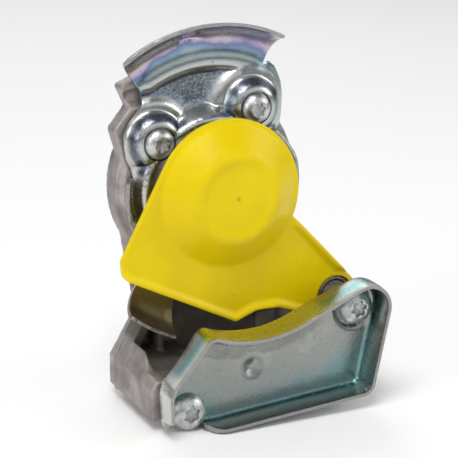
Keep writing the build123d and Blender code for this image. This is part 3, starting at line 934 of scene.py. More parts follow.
@dataclass
class GuidePlate:
    """Pressed plate with screw seats, a pocket, a curled channel at the top and a rim round the neck."""

    finish: bpy.types.Material
    thickness: float = 1.8
    rim_t: float = 1.15
    rim_w: float = 3.5
    web_y: float = 11.6
    seat_y: float = 7.1
    ears: tuple[Point, Point] = EARS
    ear_foot_r: float = 10.6
    ear_wall: float = 55.0
    ear_bends: Span = (2.2, 2.6)
    ear_bend_points: int = 9
    ear_round: float = 1.3
    ear_beyond: tuple[Point, Point] = ((0.5, 0.1), (79.4, 60.0))
    recess_y: float = 7.0
    recess_floor: Span = (3.05, 4.92)
    recess_rings: tuple[Circle, ...] = ((4.9, 52, 0.6), (5.02, 53, 0.6), (5.8, 60, 0.6))
    hole: Circle = (2.75, 30, 0.55)
    neck_hole: Circle = (19.2, 130, 0.95)
    channel: Span = (-36.5, 26.0)
    channel_root_r: float = 38.6
    channel_lead: float = 1.0
    lip_bends: tuple[Span, ...] = ((3.0, 20.0), (7.7, -98.0))
    lip_end_y: float = 5.5
    dish_r: float = 25.6
    dish_leads: Span = (0.6, 2.0)
    rims: tuple[Span, Span] = ((-113.0, -82.0), (58.0, 212.0))
    rim_bends: tuple[Span, ...] = ((2.2, -70.0),)
    rim_end_y: float = 6.6
    rim_lead: float = 0.6
    right_inset: float = 1.3
    right_angles: tuple[float, float, float] = (54.0, 212.1, 1.5)
    right_growth: Span = (50.0, 78.0)
    right_lead: float = 2.6
    right_top_z: float = 16.2
    right_side: tuple[Point, ...] = (
        (19.3, 36.9), (21.2, 35.4), (22.5, 33.0), (23.4, 30.5), (23.8, 26.5), (23.6, 20.5), (23.0, 16.5)
    )
    left_side: tuple[Point, ...] = (
        (-25.3, 4.6), (-26.4, 7.6), (-27.8, 10.5), (-28.4, 14.5), (-28.4, 18.2), (-27.0, 21.1), (-24.8, 23.9),
        (-22.4, 26.5), (-21.8, 29.2)
    )
    slack: float = 1.5
    tongue_span: Span = (-160.0, -138.5)
    tongue_flat_r: float = 34.0
    tongue_bends: tuple[Span, ...] = ((13.0, -78.0),)
    tongue_end_y: float = 1.2
    tongue_lead: float = 2.0
    tongue_slack: float = 1.0
    tongue_root: tuple[Point, ...] = ((-25.0, -10.5), (-22.0, -10.5), (-12.3, -22.0))
    pocket_left: Sweep = (11.6, -5.0, 57.0)
    pocket_right: Sweep = (10.9, -93.0, -13.0)
    pocket_top: Sweep = (36.8, 14.0, -32.0)
    pocket_corner: tuple[Point, Point] = ((-27.0, 30.2), (-27.0, 26.6))
    pocket_depth: float = 3.0
    pocket_wall: Span = (-0.7, 2.5)
    # Where the pocket's floor is dull and darkened with painted shade.
    pocket_dull_shade: Span = (-0.4, 0.8)
    pocket_dull_shade_y: Span = (11.3, 13.0)
    ridge_r: float = 21.4
    ridge_y: float = 7.2
    ridge_slope: float = 1.9
    ridge_round: float = 2.8
    ridge_left: tuple[float, Span, Span] = (1.7, (15.0, 20.0), (-12.0, -7.0))
    ridge_end: tuple[float, Span] = (60.0, (-20.0, -12.0))
    dent_at: Span = (47.4, -8.8)
    dent_half: Span = (4.2, 2.5)
    dent_depth: float = 1.0
    dent_sides: int = 28
    dent_shares: tuple[float, ...] = (1.0, 0.7, 0.35)
    # Where the slopes round the screw seats take painted shade.
    slope_shade_y: Window = (6.5, 7.3, 9.0, 10.2)
    slope_shade_r: Window = (5.6, 6.6, 11.0, 12.5)
    # Painted highlight on the crests round the screw seats.
    crest_highlight: float = 0.5
    crest_highlight_r: Window = (10.2, 11.2, 12.4, 13.6)
    crest_highlight_end: Span = (33.0, 35.0)
    edges: Rim = Rim(0.32, 0.3)
    tongue_edges: Rim = Rim(0.3, 0.7)
    sharp: float = 50.0
    step: float = 0.75

    def __post_init__(self) -> None:
        """Works out the pocket's edge, the bent strips and the dent's centre."""
        left, right = self.ears
        edge = arc(*self.pocket_left, self.step, left) + arc(*self.pocket_right, self.step, right)
        edge += arc(*self.pocket_top, self.step) + list(self.pocket_corner)
        self.pocket = divided(edge, self.step)
        right_r = self.dish_r - self.right_inset
        self.lip = Strip(self.channel_root_r, self.web_y, self.lip_bends, self.lip_end_y)
        self.rim = Strip(self.dish_r, self.web_y, self.rim_bends, self.rim_end_y)
        self.right_rim = Strip(right_r, self.web_y, self.rim_bends, self.rim_end_y)
        self.tongue = Strip(self.tongue_flat_r, self.web_y, self.tongue_bends, self.tongue_end_y)
        self.dent = np.array(polar(*self.dent_at))

    def outline(self) -> list[Point]:
        """Works out the outline of the plate before it is bent.

        Returns:
            The outline, counter-clockwise from the channel's left end.
        """
        (left_first, _), (_, right_last) = self.rims
        near, far = self.dish_leads
        right = self.right_rim
        points = arc(self.channel_root_r + self.lip.length, *self.channel, self.step)
        points += [polar(self.channel_root_r + self.channel_lead, self.channel[1]), *self.right_side]
        angles = np.arange(*self.right_angles)
        for angle, grown in zip(angles, smooth_step(angles, *self.right_growth)):
            reach = right.flat_r + self.right_lead + (right.length - self.right_lead) * float(grown)
            points.append(polar(reach, float(angle)))
        points += [polar(self.dish_r - far, right_last + self.rim_lead)]
        points += [polar(self.dish_r - near, left_first - self.rim_lead)]
        points += arc(self.dish_r + self.rim.length, *self.rims[0], self.step)
        points += [*self.left_side, polar(self.channel_root_r, self.channel[0])]
        return divided(points[::-1], self.step)

    def bend(self, flat: np.ndarray, strips: Sequence[tuple[float, float, Strip]]) -> np.ndarray:
        """Works out the middle surface from the relief and the bent strips.

        Args:
            flat: Flat points.
            strips: First and last angle of each strip, and the strip.

        Returns:
            A point in space for each flat point.
        """
        radius = radius_of(flat)
        angle = np.degrees(np.arctan2(flat[:, 0], flat[:, 1]))
        depth = self.relief(flat)
        out = radius.copy()
        for first, last, strip in strips:
            turned = np.where(angle < first - self.slack, angle + 360, angle)
            bent = (turned > first - self.slack) & (turned < last + self.slack) & (radius > strip.flat_r)
            if strip is self.right_rim:
                bent &= flat[:, 1] < self.right_top_z
            bent_r, bent_y = strip.at(np.clip(radius - strip.flat_r, 0, strip.length))
            out = np.where(bent, bent_r, out)
            depth = np.where(bent, bent_y, depth)
        away = (((flat - self.dent) / np.array(self.dent_half)) ** 2).sum(axis=1)
        depth = depth + self.dent_depth * np.clip(1 - away, 0, 1)
        scale = out / np.maximum(radius, TINY)
        return np.column_stack([flat[:, 0] * scale, depth, flat[:, 1] * scale])

    def pocket_reach(self, flat: np.ndarray) -> np.ndarray:
        """Distance into the pocket, negative outside it."""
        away = reach_to(flat, self.pocket)
        return np.where(within(flat, self.pocket), away, -away)

    def relief(self, flat: np.ndarray) -> np.ndarray:
        """Works out the web's depth with its pocket, the ridge round the neck and the two screw seats.

        Args:
            flat: Flat points.

        Returns:
            A depth for each point.
        """
        depth = self.web_y + self.pocket_depth * smooth_step(self.pocket_reach(flat), *self.pocket_wall)
        shift, left_x, left_z = self.ridge_left
        left = smooth_step(-flat[:, 0], *left_x) * smooth_step(-flat[:, 1], *left_z)
        ridge = self.ridge_y + self.ridge_slope * np.maximum(radius_of(flat) - self.ridge_r - shift * left, 0)
        fall, end_z = self.ridge_end
        ridge = ridge + fall * (1 - smooth_step(flat[:, 1], *end_z))
        depth = blend_low(depth, ridge, self.ridge_round)
        radii, depths = self.ear_profile().T
        for ear in self.ears:
            depth = blend_low(depth, np.interp(spread(flat, ear), radii, depths), self.ear_round)
        return depth

    def ear_profile(self) -> np.ndarray:
        """Works out a screw seat's middle surface: seat, top bend, wall and foot bend.

        Returns:
            Rows of radius and depth.
        """
        wall = math.radians(self.ear_wall)
        top, foot = self.ear_bends
        rise = self.web_y - self.seat_y
        slant = (rise - (top + foot) * (1 - math.cos(wall))) / math.sin(wall)
        start = self.ear_foot_r - (top + foot) * math.sin(wall) - slant * math.cos(wall)
        turns = np.linspace(0, wall, self.ear_bend_points)
        rows = [(0.0, self.seat_y)]
        rows += [(start + top * math.sin(t), self.seat_y + top * (1 - math.cos(t))) for t in turns]
        turns = turns[::-1]
        rows += [(self.ear_foot_r - foot * math.sin(t), self.web_y - foot * (1 - math.cos(t))) for t in turns]
        rows += [(self.ear_foot_r + out, self.web_y + back) for out, back in self.ear_beyond]
        return np.array(rows)

    def thickness_at(self, flat: np.ndarray, outline: Sequence[Point]) -> np.ndarray:
        """Thickness of the sheet, which is thinner towards its sheared rim."""
        inner = smooth_step(reach_to(flat, outline), 0.0, self.rim_w)
        return self.rim_t + (self.thickness - self.rim_t) * inner

    def dent_rings(self) -> list[list[Point]]:
        """Works out the paths round the dent that edges follow.

        Returns:
            The paths, from its edge inwards.
        """
        turns = np.linspace(0, 2 * math.pi, self.dent_sides + 1)[1:]
        spokes = np.column_stack([np.cos(turns), np.sin(turns)]) * np.array(self.dent_half)
        paths = [(self.dent + spokes * share).tolist() for share in self.dent_shares]
        return [[tuple(place) for place in path] for path in paths]

    def build(self) -> bpy.types.Object:
        """Makes the plate.

        Returns:
            The object.
        """
        holes = [ring(*self.hole, ear) for ear in self.ears] + [ring(*self.neck_hole)]
        creases = [ring(*sizes, ear) for ear in self.ears for sizes in self.recess_rings]
        outline = self.outline()
        flat, faces, _ = Filling(self.step).fill(outline, holes, [*creases, *self.dent_rings()])
        strips = [(*self.channel, self.lip), (*self.rims[0], self.rim),
                  (self.right_growth[0], self.rims[1][1], self.right_rim)]
        sheet = Sheet(self.bend(flat, strips), faces)
        points, faces, cut = self.edges.thicken(sheet, self.thickness_at(flat, outline))
        low, high = self.recess_floor
        for ear in self.ears:
            away = spread(flat, ear)
            points[np.flatnonzero((away > low) & (away < high)), 1] = self.recess_y
        paint = {"cut": cut, **self.paint(points)}
        piece = make_piece("guide_plate_dressed", points, faces, self.sharp, Body.COUPLER,
                           self.finish, paint)
        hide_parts("guide_plate")
        return piece

    def paint(self, points: np.ndarray) -> dict[str, np.ndarray]:
        """Works out what the finish reads besides the cut faces.

        Args:
            points: Points of the finished mesh.

        Returns:
            Values for the pocket's dull floor with painted shade, painted shade on the slopes round the screw
            seats and a painted highlight on their crests.
        """
        flat, depth = flat_of(points), points[:, 1]
        # Painted shade on the pocket's dull floor.
        pocket = smooth_step(self.pocket_reach(flat), *self.pocket_dull_shade)
        pocket = pocket * smooth_step(depth, *self.pocket_dull_shade_y)
        near = [spread(flat, ear) for ear in self.ears]
        # Painted shade on the slopes round the screw seats.
        slope = window(depth, self.slope_shade_y) * np.max([window(away, self.slope_shade_r) for away in near], axis=0)
        # Painted highlight on the crests round the screw seats.
        end = 1 - smooth_step(radius_of(flat), *self.crest_highlight_end)
        crest_highlight = self.crest_highlight * window(np.min(near, axis=0), self.crest_highlight_r) * end
        return {"recess": pocket, "slope": slope, "pale": crest_highlight}

    def build_tongue(self) -> bpy.types.Object:
        """Makes the tongue that runs on behind the rim.

        Returns:
            The object.
        """
        first, last = self.tongue_span
        root_r = self.tongue.flat_r - self.tongue_lead
        corners = arc(self.tongue.flat_r + self.tongue.length, first, last, self.step)
        corners += [polar(root_r, last), *self.tongue_root, polar(root_r, first)]
        loop = divided(corners, self.step)
        flat, faces, _ = Filling(self.step).fill(counter_clockwise(loop), [])
        strip = (first - self.tongue_slack, last + self.tongue_slack, self.tongue)
        sheet = Sheet(self.bend(flat, [strip]), faces)
        points, faces, cut = self.tongue_edges.thicken(sheet, self.thickness_at(flat, loop))
        return make_piece("guide_tongue", points, faces, self.sharp, Body.COUPLER,
                          self.finish, {"cut": cut})


@dataclass
class LowerClaw:
    """Pressed pan with a sloped band under its concave edge, a dimple and two screw seats."""

    finish: bpy.types.Material
    thickness: float = 1.8
    rim_t: float = 1.2
    rim_w: float = 4.0
    floor_y: float = -13.9
    rim_y: float = -23.6
    wall_shares: tuple[float, ...] = (0.0, 0.35, 0.7)
    edge_r: float = 38.7
    edge_span: Span = (156.9, 203.0)
    edge_lead: float = 6.0
    ear: Point = (36.98, -34.97)
    ear_r: float = 8.0
    side_lean: float = 13.4
    corners: tuple[Point, ...] = (
        (39.2, -62.7), (-11.0, -66.9), (-28.0, -66.4), (-28.6, -53.5), (-27.2, -50.0)
    )
    corner_radii: tuple[float, ...] = (4.5, 0.0, 4.5, 4.5, 2.5, 4.0)
    bend_r: float = 2.1
    bend_step: int = 15
    screw: Point = CLAW_SCREW
    pivot: Point = PIVOT
    seat_drop: float = 1.2
    seat_r: Span = (6.6, 7.7)
    hole: Circle = (3.25, 30, 0.55)
    dimple: Point = (2.0, -51.0)
    dimple_r: float = 4.5
    dimple_depth: float = 2.0
    dimple_rings: tuple[tuple[float, int], ...] = ((4.5, 40), (4.0, 36), (3.4, 30), (2.7, 24), (1.9, 16))
    dimple_step: float = 0.7
    # Painted shade in the dimple, which is also rougher.
    dimple_dull_shade: float = 0.4
    dimple_dull_shade_r: Span = (3.2, 4.6)
    # Painted highlights along the throat's edge and on the left flange.
    throat_highlight: float = 0.8
    throat_highlight_r: Span = (38.9, 39.9)
    left_highlight_x: Span = (24.2, 26.2)
    band_w: float = 9.5
    band_drop: float = 1.7
    band_round: float = 0.05
    band_x: Window = (-24.0, -17.0, 24.0, 31.0)
    cut_x: Span = (-27.7, -14.5)
    cut_z: float = -62.0
    rim_round: float = 5.5
    edges: Rim = Rim(0.34, 0.4)
    sharp: float = 50.0
    step: float = 0.85

    def outline(self) -> list[Point]:
        """Works out the outline.

        Returns:
            The outline, counter-clockwise as seen from the front.
        """
        first, last = self.edge_span
        throat = arc(self.edge_r, first, last, self.step)
        ear = arc(self.ear_r, first - 180, 90 + self.side_lean, self.step, self.ear)
        rest = throat[1 : -round(self.edge_lead / self.step)]
        corners = [throat[0], *ear, *self.corners, throat[-1], *rest[::-1]]
        radii = [0.0] * (1 + len(ear)) + [*self.corner_radii] + [0.0] * len(rest)
        return counter_clockwise(rounded(corners, radii, self.step))

    def wall(self, loop: np.ndarray) -> list[np.ndarray]:
        """Works out the rows of points up the wall and round the bend to the floor.

        Args:
            loop: The outline.

        Returns:
            The rows, from the rim to the floor's edge, with a point for each point of the outline.
        """
        along = np.roll(loop, -1, 0) - np.roll(loop, 1, 0)
        along /= np.linalg.norm(along, axis=1)[:, None]
        inward = np.column_stack([-along[:, 1], along[:, 0]])
        rim_y = self.rim_y + self.rim_fall(loop)
        wall_y = self.floor_y + self.band(loop) - self.bend_r
        rows = [(0.0, rim_y * (1 - share) + wall_y * share) for share in self.wall_shares]
        for turn in range(0, 91, self.bend_step):
            lean = math.radians(turn)
            rows.append((self.bend_r * (1 - math.cos(lean)), wall_y + self.bend_r * math.sin(lean)))
        middle = loop + inward * self.thickness / 2
        flats = [(middle + inward * inset, depth) for inset, depth in rows]
        return [np.column_stack([flat[:, 0], depth, flat[:, 1]]) for flat, depth in flats]

    def middle_surface(self) -> Sheet:
        """Joins wall, bend and floor, and leaves the wall out at the open corner.

        Returns:
            The middle surface.
        """
        loop = np.array(self.outline())
        points = self.wall(loop)
        count, base = len(loop), (len(points) - 1) * len(loop)
        open_corner = self.open_corner(loop)
        faces = []
        for row in range(0, base, count):
            for i in range(count):
                j = (i + 1) % count
                if not (open_corner[i] and open_corner[j]):
                    faces.append((row + i, row + j, row + count + j, row + count + i))
        holes = [ring(*self.hole, place) for place in (self.screw, self.pivot)]
        creases = [ring(radius, gap, self.dimple_step, self.dimple) for radius, gap in self.dimple_rings]
        inner = [tuple(p) for p in flat_of(points[-1])]
        flat, floor, sources = Filling(self.step).fill(inner, holes, creases)
        fresh = np.array(sources) < 0
        ids = np.where(fresh, base + count - 1 + np.cumsum(fresh), base + np.array(sources))
        added = flat[fresh]
        points.append(np.column_stack([added[:, 0], self.floor_depth(added), added[:, 1]]))
        faces += [tuple(int(ids[i]) for i in face) for face in floor]
        used = sorted({i for face in faces for i in face})
        order = {old: new for new, old in enumerate(used)}
        return Sheet(np.vstack(points)[used], [tuple(order[i] for i in face) for face in faces])

    def build(self) -> bpy.types.Object:
        """Makes the pan.

        Returns:
            The object.
        """
        sheet = self.middle_surface()
        inner = smooth_step(sheet.points[:, 1], self.rim_y, self.rim_y + self.rim_w)
        thickness = self.rim_t + (self.thickness - self.rim_t) * inner
        points, faces, cut = self.edges.thicken(sheet, thickness)
        flat = flat_of(points)
        # Painted shade in the dimple, which is also rougher.
        dimple_shade = self.dimple_dull_shade * (1 - smooth_step(spread(flat, self.dimple), *self.dimple_dull_shade_r))
        # Painted highlight along the throat's edge and on the left flange.
        throat = self.throat_highlight * (1 - smooth_step(radius_of(flat), *self.throat_highlight_r))
        pale = np.maximum(smooth_step(-flat[:, 0], *self.left_highlight_x), throat)
        piece = make_piece("lower_claw_dressed", points, faces, self.sharp, Body.COUPLER,
                           self.finish, {"cut": cut, "recess": dimple_shade, "pale": pale})
        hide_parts("lower_claw")
        return piece

    def open_corner(self, loop: np.ndarray) -> np.ndarray:
        """Which points of the outline lie at the corner that has no wall."""
        return (loop[:, 0] < self.cut_x[1]) & (loop[:, 0] > self.cut_x[0]) & (loop[:, 1] < self.cut_z)

    def rim_fall(self, loop: np.ndarray) -> np.ndarray:
        """Works out how far the rim falls back where it ends beside the open corner.

        Args:
            loop: The outline.

        Returns:
            A fall for each of its points.
        """
        along = np.clip(loop[:, 0] - self.cut_x[1], 0, self.rim_round)
        fall = self.rim_round - np.sqrt(self.rim_round**2 - (self.rim_round - along) ** 2)
        return np.where(loop[:, 1] < self.cut_z, fall, 0.0)

    def band(self, flat: np.ndarray) -> np.ndarray:
        """Works out how far the floor falls back towards the concave edge.

        Args:
            flat: Flat points.

        Returns:
            A fall for each point.
        """
        out = radius_of(flat) - self.edge_r
        fall = -blend_low(out / self.band_w - 1.0, 0 * out, self.band_round)
        return self.band_drop * fall * window(flat[:, 0], self.band_x)

    def floor_depth(self, flat: np.ndarray) -> np.ndarray:
        """Works out the floor's depth with its band, its sunk pivot seat and its dimple.

        Args:
            flat: Flat points.

        Returns:
            A depth for each point.
        """
        seat = self.seat_drop * (1 - smooth_step(spread(flat, self.pivot), *self.seat_r))
        depth = self.floor_y + np.maximum(self.band(flat), seat)
        share = np.minimum(spread(flat, self.dimple) / self.dimple_r, 1)
        return depth + self.dimple_depth * (0.5 + 0.5 * np.cos(math.pi * share))


@dataclass
class Lid:
    """Yellow lid: plate with a hollow dome, beads along its lower edges and arm, and an eye at the pivot."""

    finish: bpy.types.Material
    thickness: float = 2.1
    middle_y: float = -1.7
    round_r: float = 23.1
    dome_r: float = 21.6
    dome_top_r: float = 12.4
    dome_rise: float = 7.0
    dome_top_drop: float = 0.25
    dome_sink: float = 0.5
    dome_sink_w: Span = (-0.3, 3.0)
    dome_rounds: Span = (0.9, 0.8)
    dome_rings: tuple[float, ...] = (11.4, 12.4, 13.4)
    dome_ring: tuple[int, float] = (110, 0.7)
    profile: tuple[float, int] = (40.0, 400)
    pivot: Point = PIVOT
    eye_r: float = 7.7
    eye_hole: Circle = (6.7, 50, 0.85)
    eye: tuple[Point, ...] = (
        (4.58, 4.64), (6.8, 4.64), (7.1, 4.3), (7.1, -0.5), (7.55, -0.9), (7.55, -2.4), (7.3, -2.8),
        (6.45, -2.8), (6.2, -2.6), (6.2, 2.24), (4.58, 2.24)
    )
    eye_end: float = 195.0
    bead_h: float = 1.3
    bead_w: Span = (0.935, 2.55)
    bead_start: Span = (0.2, 3.0)
    bead_end: float = 1.5
    bead_left_z: Span = (20.0, 22.5)
    left_angle: float = -62.0
    arm_angle: float = 113.0
    corners: tuple[Point, ...] = ((16.0, -37.2), (8.6, -37.2), (1.6, -39.9), (-34.4, -22.1), (-34.9, -16.8))
    corner_radii: tuple[float, ...] = (2.5, 6.0, 1.2, 3.2, 3.2)
    edges: Rim = Rim(0.45)
    sharp: float = 40.0
    step: float = 0.8

    def outline(self) -> list[Point]:
        """Works out the outline of the lid with its round eye.

        Returns:
            The outline, counter-clockwise as seen from the front.
        """
        head = arc(self.round_r, self.left_angle, self.arm_angle, self.step)
        run = np.array(self.pivot) - np.array(head[-1])
        lean = math.atan2(run[1], run[0]) + math.asin(self.eye_r / float(np.linalg.norm(run)))
        top = 90 - math.degrees(lean + math.pi / 2)
        eye = arc(self.eye_r, top, self.eye_end, self.step, self.pivot)
        radii = [0.0] * (len(head) + len(eye)) + [*self.corner_radii]
        return counter_clockwise(rounded([*head, *eye, *self.corners], radii, self.step))

    def dome(self, radii: np.ndarray) -> np.ndarray:
        """Works out the dome's height, with round bends at its top and foot.

        Args:
            radii: Distances from its axis.

        Returns:
            A height for each.
        """
        top_round, foot_round = self.dome_rounds
        side = (self.dome_r - radii) * (self.dome_rise / (self.dome_r - self.dome_top_r))
        sink = self.dome_sink * smooth_step(self.dome_top_r - radii, *self.dome_sink_w)
        height = blend_low(side, self.dome_rise - self.dome_top_drop - sink, top_round)
        return -blend_low(-height, 0 * radii, foot_round)

    def bead(self, points: np.ndarray, outline: Sequence[Point]) -> np.ndarray:
        """Works out the bead along the lower edges and the arm's upper edge, on the front alone.

        Args:
            points: Points of the lid.
            outline: Its outline.

        Returns:
            A height for each point.
        """
        flat = flat_of(points)
        height = self.bead_h * (1 - smooth_step(reach_to(flat, outline), *self.bead_w))
        height *= smooth_step(radius_of(flat) - self.round_r, *self.bead_start)
        height *= smooth_step(spread(flat, self.pivot) - self.eye_r, 0.0, self.bead_end)
        height *= np.where(flat[:, 0] < 0, smooth_step(-flat[:, 1], *self.bead_left_z), 1.0)
        return np.where(points[:, 1] < self.middle_y, height, 0.0)

    def build(self) -> bpy.types.Object:
        """Makes the lid.

        Returns:
            The object.
        """
        outline = self.outline()
        creases = [ring(radius, *self.dome_ring) for radius in self.dome_rings]
        flat, faces, _ = Filling(self.step).fill(outline, [ring(*self.eye_hole, self.pivot)], creases)
        profile_r = np.linspace(0, *self.profile)
        depth = self.middle_y - np.interp(radius_of(flat), profile_r, self.dome(profile_r))
        sheet = Sheet(np.column_stack([flat[:, 0], depth, flat[:, 1]]), faces)
        points, faces, _ = self.edges.thicken(sheet, self.thickness)
        points[:, 1] -= self.bead(points, outline)
        turned, rings = lathe(self.eye, self.pivot)
        faces = [*faces, *(tuple(len(points) + i for i in face) for face in rings)]
        points = np.vstack([points, turned])
        piece = make_piece("lid_dressed", points, faces, self.sharp, Body.LID, self.finish)
        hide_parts("lid")
        return piece


@dataclass
class PanScrew:
    """Pan-head screw with a six-lobed socket."""

    name: str
    node: str
    place: Point
    seat_y: float
    length: float
    finish: bpy.types.Material
    head_r: float = 4.7
    head_h: float = 3.2
    shank_r: float = 2.5
    socket_r: float = 1.7
    lobe: float = 0.3
    lobes: int = 6
    middle_lobe: float = 0.4
    socket_depth: float = 1.5
    axis_r: float = 0.05
    crown_share: float = 0.35
    crown_edge: float = 0.5
    crown_power: float = 0.9
    turn: float = 0.0
    sharp: float = 45.0
    segments: int = 96

    def rings(self) -> list[tuple[float, float, float, float]]:
        """Works out the rings from the middle of the socket to the tip of the shank.

        Returns:
            Radius, depth, how far the lobes show and how much painted shade it takes, for each ring.
        """
        r, socket, seat, shank = self.head_r, self.socket_r, self.seat_y, self.shank_r
        top, tip = seat - self.head_h, seat + self.length
        floor = top + self.socket_depth
        # The last value of each ring is its painted shade, darkest down the socket's walls.
        rings = [(self.axis_r, floor, 0.0, 0.3), (0.5 * socket, floor - 0.35, 0.5, 0.5),
                 (socket, floor - 0.6, 1.0, 1.0), (socket, top + 0.45, 1.0, 1.0),
                 (socket + 0.1, top + 0.2, 1.0, 0.4), (socket + 0.35, top + 0.12, 0.8, 0.0),
                 (socket + 0.8, top + 0.1, 0.2, 0.0)]
        for angle in range(20, 91, 10):
            lean = math.radians(angle)
            fall = (self.head_h - self.crown_edge) * (1 - math.cos(lean)) ** self.crown_power
            reach = r * (self.crown_share + (1 - self.crown_share) * math.sin(lean))
            rings.append((reach, top + fall, 0.0, 0.0))
        under = ((r, seat - 0.3), (r - 0.2, seat), (shank, seat), (shank, tip - 0.4), (shank - 0.4, tip),
                 (self.axis_r, tip))
        return rings + [(radius, depth, 0.0, 0.0) for radius, depth in under]

    def build(self) -> bpy.types.Object:
        """Makes the screw ring by ring.

        Returns:
            The object.
        """
        rings = self.rings()
        points, recess = [], []
        for radius, depth, lobed, dark in rings:
            lobe = self.lobe * lobed * (1 if radius > 1 else self.middle_lobe)
            for i in range(self.segments):
                angle = 2 * math.pi * i / self.segments
                reach = radius + lobe * math.cos(self.lobes * (angle - self.turn))
                x, z = reach * math.sin(angle), reach * math.cos(angle)
                points.append((self.place[0] + x, depth, self.place[1] + z))
                recess.append(dark)
        faces = []
        last = (len(rings) - 1) * self.segments
        for row in range(0, last, self.segments):
            for i in range(self.segments):
                j = (i + 1) % self.segments
                faces.append((row + i, row + self.segments + i, row + self.segments + j, row + j))
        faces.append(tuple(range(self.segments)))
        faces.append(tuple(range(last + self.segments - 1, last - 1, -1)))
        piece = make_piece(self.name, np.array(points), faces, self.sharp, Body.COUPLER,
                           self.finish, {"recess": np.array(recess)})
        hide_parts(self.node)
        return piece


@dataclass
class Housing:
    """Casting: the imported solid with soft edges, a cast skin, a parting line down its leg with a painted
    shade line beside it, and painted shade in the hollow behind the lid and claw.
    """

    node: bpy.types.Object
    finish: bpy.types.Material
    weld: float = 0.001
    voxel: float = 0.55
    soften: float = 0.5
    soften_times: int = 4
    grain: float = 0.10
    grain_pitch: float = 0.35
    seam_y: float = 16.6
    seam_w: float = 0.5
    seam_h: float = 0.6
    seam_flank: float = 0.5
    # The painted shade line beside the parting seam: its shift behind the seam and its width.
    seam_shade_shift: float = 0.7
    seam_shade_w: float = 0.45
    leg: Point = (-20.0, -26.0)
    # Box of the hollow behind the lid and claw that takes painted shade.
    cavity_shade_x: Window = (-26.6, -25.0, 27.0, 30.0)
    cavity_shade_y: Window = (-8.0, -4.0, 19.4, 20.4)
    cavity_shade_z: Window = (-62.0, -59.5, -24.0, -19.0)
    sharp: float = 60.0

    def cast(self) -> bpy.types.Mesh:
        """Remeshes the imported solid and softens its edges.

        Returns:
            The mesh.
        """
        work = bpy.data.objects.new("housing_work", self.node.data.copy())
        bpy.context.scene.collection.objects.link(work)
        weld = work.modifiers.new("weld", "WELD")
        weld.merge_threshold = self.weld * MM
        remesh = work.modifiers.new("remesh", "REMESH")
        remesh.mode = "VOXEL"
        remesh.voxel_size = self.voxel * MM
        soft = work.modifiers.new("soft", "SMOOTH")
        soft.factor = self.soften
        soft.iterations = self.soften_times
        graph = bpy.context.evaluated_depsgraph_get()
        mesh = bpy.data.meshes.new_from_object(work.evaluated_get(graph))
        bpy.data.objects.remove(work)
        return mesh

    @staticmethod
    def vectors(mesh: bpy.types.Mesh, name: str) -> np.ndarray:
        """Reads a vector of each vertex.

        Args:
            mesh: Mesh to read.
            name: Which of its vectors.

        Returns:
            One row for each vertex.
        """
        values = np.empty(len(mesh.vertices) * 3)
        mesh.vertices.foreach_get(name, values)
        return values.reshape(-1, 3)

    def build(self) -> bpy.types.Object:
        """Makes the casting.

        Returns:
            The object.
        """
        mesh = self.cast()
        points, normals = self.vectors(mesh, "co") / MM, self.vectors(mesh, "normal")
        x, y, z = points.T
        leg = (x < self.leg[0]) * (z < self.leg[1])
        swell = np.array([noise.noise(Vector(p) * self.grain_pitch) for p in points]) * self.grain
        seam = np.exp(-(((y - self.seam_y) / self.seam_w) ** 2)) * leg
        swell += self.seam_h * seam * (np.abs(normals[:, 1]) < self.seam_flank)
        # Painted shade: a dark line just behind the seam's ridge, and the hollow behind the lid and claw.
        line = np.exp(-(((y - self.seam_y - self.seam_shade_shift) / self.seam_shade_w) ** 2)) * leg
        soot = np.maximum(window(x, self.cavity_shade_x) * window(y, self.cavity_shade_y) * window(z, self.cavity_shade_z), line)
        low, high = (np.array(corner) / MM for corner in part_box("housing"))
        points = np.clip(points + normals * swell[:, None], low, high)
        faces = [tuple(p.vertices) for p in mesh.polygons]
        bpy.data.meshes.remove(mesh)
        piece = make_piece("housing_dressed", points, faces, self.sharp, Body.COUPLER,
                           self.finish, {"soot": soot})
        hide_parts("housing")
        return piece


# Studio


def look_along(thing: bpy.types.Object, direction: Vector) -> None:
    """Turns a lamp or a camera to look along a direction."""
    thing.rotation_mode = "QUATERNION"
    thing.rotation_quaternion = direction.to_track_quat("-Z", "Y")


@dataclass(frozen=True)
class Lamp:
    """Square soft box that looks at the object, with its place and size in metres and its power in watts."""

    name: str
    place: tuple[float, float, float]
    size: float
    power: float

    def build(self) -> None:
        """Makes the lamp."""
        data = bpy.data.lights.new(self.name, "AREA")
        data.size = self.size
        data.energy = self.power
        lamp = bpy.data.objects.new(self.name, data)
        lamp.location = self.place
        look_along(lamp, -Vector(self.place))
        bpy.context.scene.collection.objects.link(lamp)


